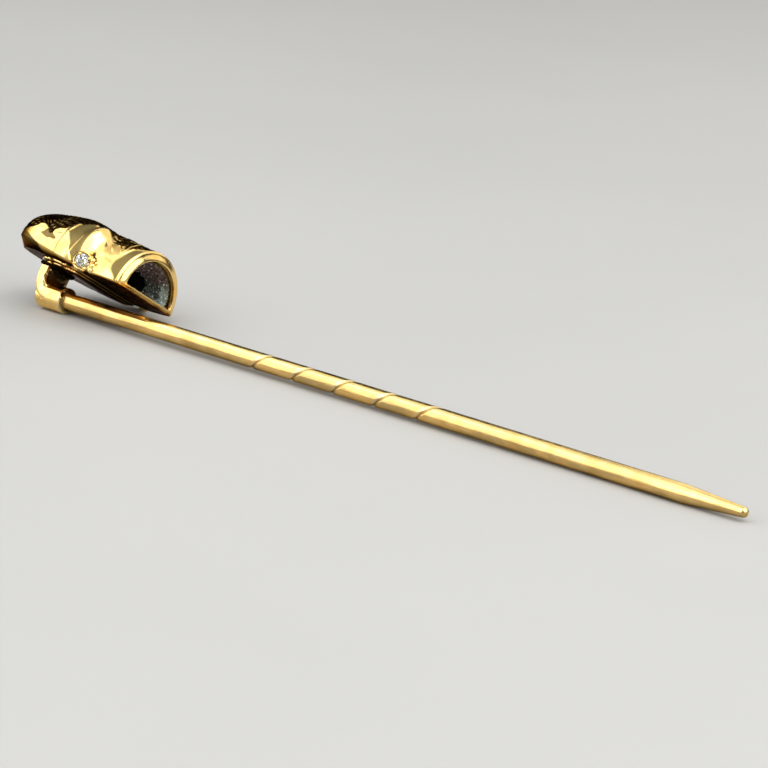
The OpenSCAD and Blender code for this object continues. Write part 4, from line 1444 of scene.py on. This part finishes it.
# %% The stones' material
def diamond():
    """Clear, very high index, with a faint cool cloud and polish lines."""
    material, tree, shader, place = new_material("old_cut_diamond")
    shader.inputs["IOR"].default_value = 2.42
    shader.inputs["Transmission Weight"].default_value = 1.0
    cloud = noise_node(tree, place, 3.0)
    tint = blend_colour(tree, cloud, (0.50, 0.64, 0.68), (0.93, 0.97, 0.98))
    tree.links.new(tint, shader.inputs["Base Color"])
    tree.links.new(ranged(tree, noise_node(tree, place, 20.0), 0.0, 0.04), shader.inputs["Roughness"])
    return material


stone_material = diamond()
for piece in (near_stone, far_stone):
    piece.data.materials.append(stone_material)

# %% [markdown]
# ## The set
#
# Polished metal shows the room, so the room is the picture. A pale floor fills the lower
# half of every reflection. Above it the world is a dim grey, with a few large soft lights:
# dark between bright areas is what makes gold look like metal. The lights are far larger
# than the pin, so their shadows stay soft. Seen from the camera, the near flanks of the
# shaft and the head mirror the left wall, and the lip mirrors front right. The others are
# weaker: they stand over the pin, behind it and beside the camera, and lift single areas.

# %% Floor, world and lights
def make_floor():
    """A pale mat plane just under the pin, with a faint grain."""
    half = 1.5
    points = np.array([[-half, -half, 0], [half, -half, 0], [half, half, 0], [-half, half, 0]])
    mesh = bpy.data.meshes.new("floor")
    mesh.from_pydata(points.tolist(), [], [[0, 1, 2, 3]])
    floor = bpy.data.objects.new("floor", mesh)
    bpy.context.scene.collection.objects.link(floor)
    material, tree, shader, place = new_material("pale_floor")
    grain = noise_node(tree, place, 0.02)
    pale = blend_colour(tree, grain, (0.34, 0.34, 0.335), (0.38, 0.38, 0.375))
    tree.links.new(pale, shader.inputs["Base Color"])
    shader.inputs["Roughness"].default_value = 0.7
    mesh.materials.append(material)
    floor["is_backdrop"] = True


def make_world(level):
    """An even dim grey all round."""
    world = bpy.data.worlds.new("dim_room")
    world.use_nodes = True
    background = world.node_tree.nodes["Background"]
    background.inputs["Color"].default_value = (0.9, 0.95, 1.0, 1)
    background.inputs["Strength"].default_value = level
    bpy.context.scene.world = world


def soft_light(name, place, aim, size, watts, colour=(1, 1, 1)):
    """A rectangular area light at a place in metres, facing its aim."""
    light = bpy.data.lights.new(name, "AREA")
    light.shape = "RECTANGLE"
    light.size, light.size_y = size
    light.energy = watts
    light.color = colour
    lamp = bpy.data.objects.new(name, light)
    back = np.array(place, float) - np.array(aim, float)
    back /= np.linalg.norm(back)
    right = np.cross([0.0, 0.0, 1.0], back)
    right /= np.linalg.norm(right)
    up = np.cross(back, right)
    turn = np.eye(4)
    turn[:3, 0], turn[:3, 1], turn[:3, 2], turn[:3, 3] = right, up, back, place
    lamp.matrix_world = Matrix(turn.tolist())
    bpy.context.scene.collection.objects.link(lamp)


def toward(azimuth, elevation, distance):
    """A place at a distance from the pin, by compass angle from X and height angle."""
    a, e = math.radians(azimuth), math.radians(elevation)
    return distance * np.array([math.cos(a) * math.cos(e), math.sin(a) * math.cos(e), math.sin(e)])


make_floor()
make_world(0.05)
soft_light("left_wall", toward(-137, 27, 0.40), (0, 0, 0), (0.92, 0.44), 2.8, (1.0, 0.99, 0.96))
soft_light("left_core", toward(-113, 32, 0.36), (-0.02, 0, 0), (0.15, 0.28), 0.16)
soft_light("front_right", toward(-2, 43, 0.36), (-0.01, 0, 0), (0.42, 0.44), 1.60, (1.0, 0.99, 0.96))
soft_light("crest", toward(-60, 80, 0.36), (-0.01, 0, 0), (0.44, 0.36), 0.80)
soft_light("fill", toward(-50, 42, 0.42), (-0.01, 0, 0), (0.34, 0.36), 0.26)
soft_light("behind", toward(90, 38, 0.36), (-0.02, 0, 0), (0.50, 0.36), 0.65, (1.0, 0.98, 0.94))
soft_light("shoulder", toward(172, 52, 0.34), (0, 0, 0), (0.24, 0.17), 0.14, (1.0, 0.98, 0.94))
bpy.context.scene.view_settings.view_transform = "Standard"

# %% [markdown]
# ## The camera
#
# The photograph was taken with a long lens from just above the table. Its place was found by
# fitting the pin's known points to their places in the picture, so it is set by numbers:
# where it stands, which way it looks, how far down, and how far it is rolled.

# %% Camera at the photograph's angle
EYE_MM = (145.78, -161.29, 58.05)
HEADING, DOWN, TILT = 131.833, 14.714, 3.874
LENS = 154.8


def make_camera():
    """A camera whose three axes come from its heading, its look down and its tilt."""
    heading, down, tilt = (math.radians(v) for v in (HEADING, DOWN, TILT))
    forward = np.array([
        math.cos(heading) * math.cos(down), math.sin(heading) * math.cos(down), -math.sin(down),
    ])
    level = np.array([math.sin(heading), -math.cos(heading), 0.0])
    above = np.cross(level, forward)
    right = level * math.cos(tilt) + above * math.sin(tilt)
    up = above * math.cos(tilt) - level * math.sin(tilt)
    lens = bpy.data.cameras.new("camera")
    lens.lens = LENS
    lens.clip_start = 0.01
    camera = bpy.data.objects.new("camera", lens)
    turn = np.eye(4)
    turn[:3, 0], turn[:3, 1], turn[:3, 2] = right, up, -forward
    turn[:3, 3] = np.array(EYE_MM) * MM
    camera.matrix_world = Matrix(turn.tolist())
    bpy.context.scene.collection.objects.link(camera)
    bpy.context.scene.camera = camera
    print(f"camera {np.linalg.norm(EYE_MM):.0f} mm from the pin, {DOWN} degrees above the floor")


make_camera()

# %% [markdown]
# ## Measuring the result
#
# The fine skin is set a little inside the solid, so the dressed pin should stay inside the
# solid's box. The dressed pin has to stay inside the solid's box, because the metal may
# not be bigger than the part. The CAD box and the difference of the two boxes are printed.

# %% Sizes, and the end
visual_bounds = [[float(v) for v in corner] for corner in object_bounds()]
spare = np.round((np.array(visual_bounds) - np.array(cad_bounds)) / MM, 3)
print("visual box less CAD box, in mm:", spare.tolist())
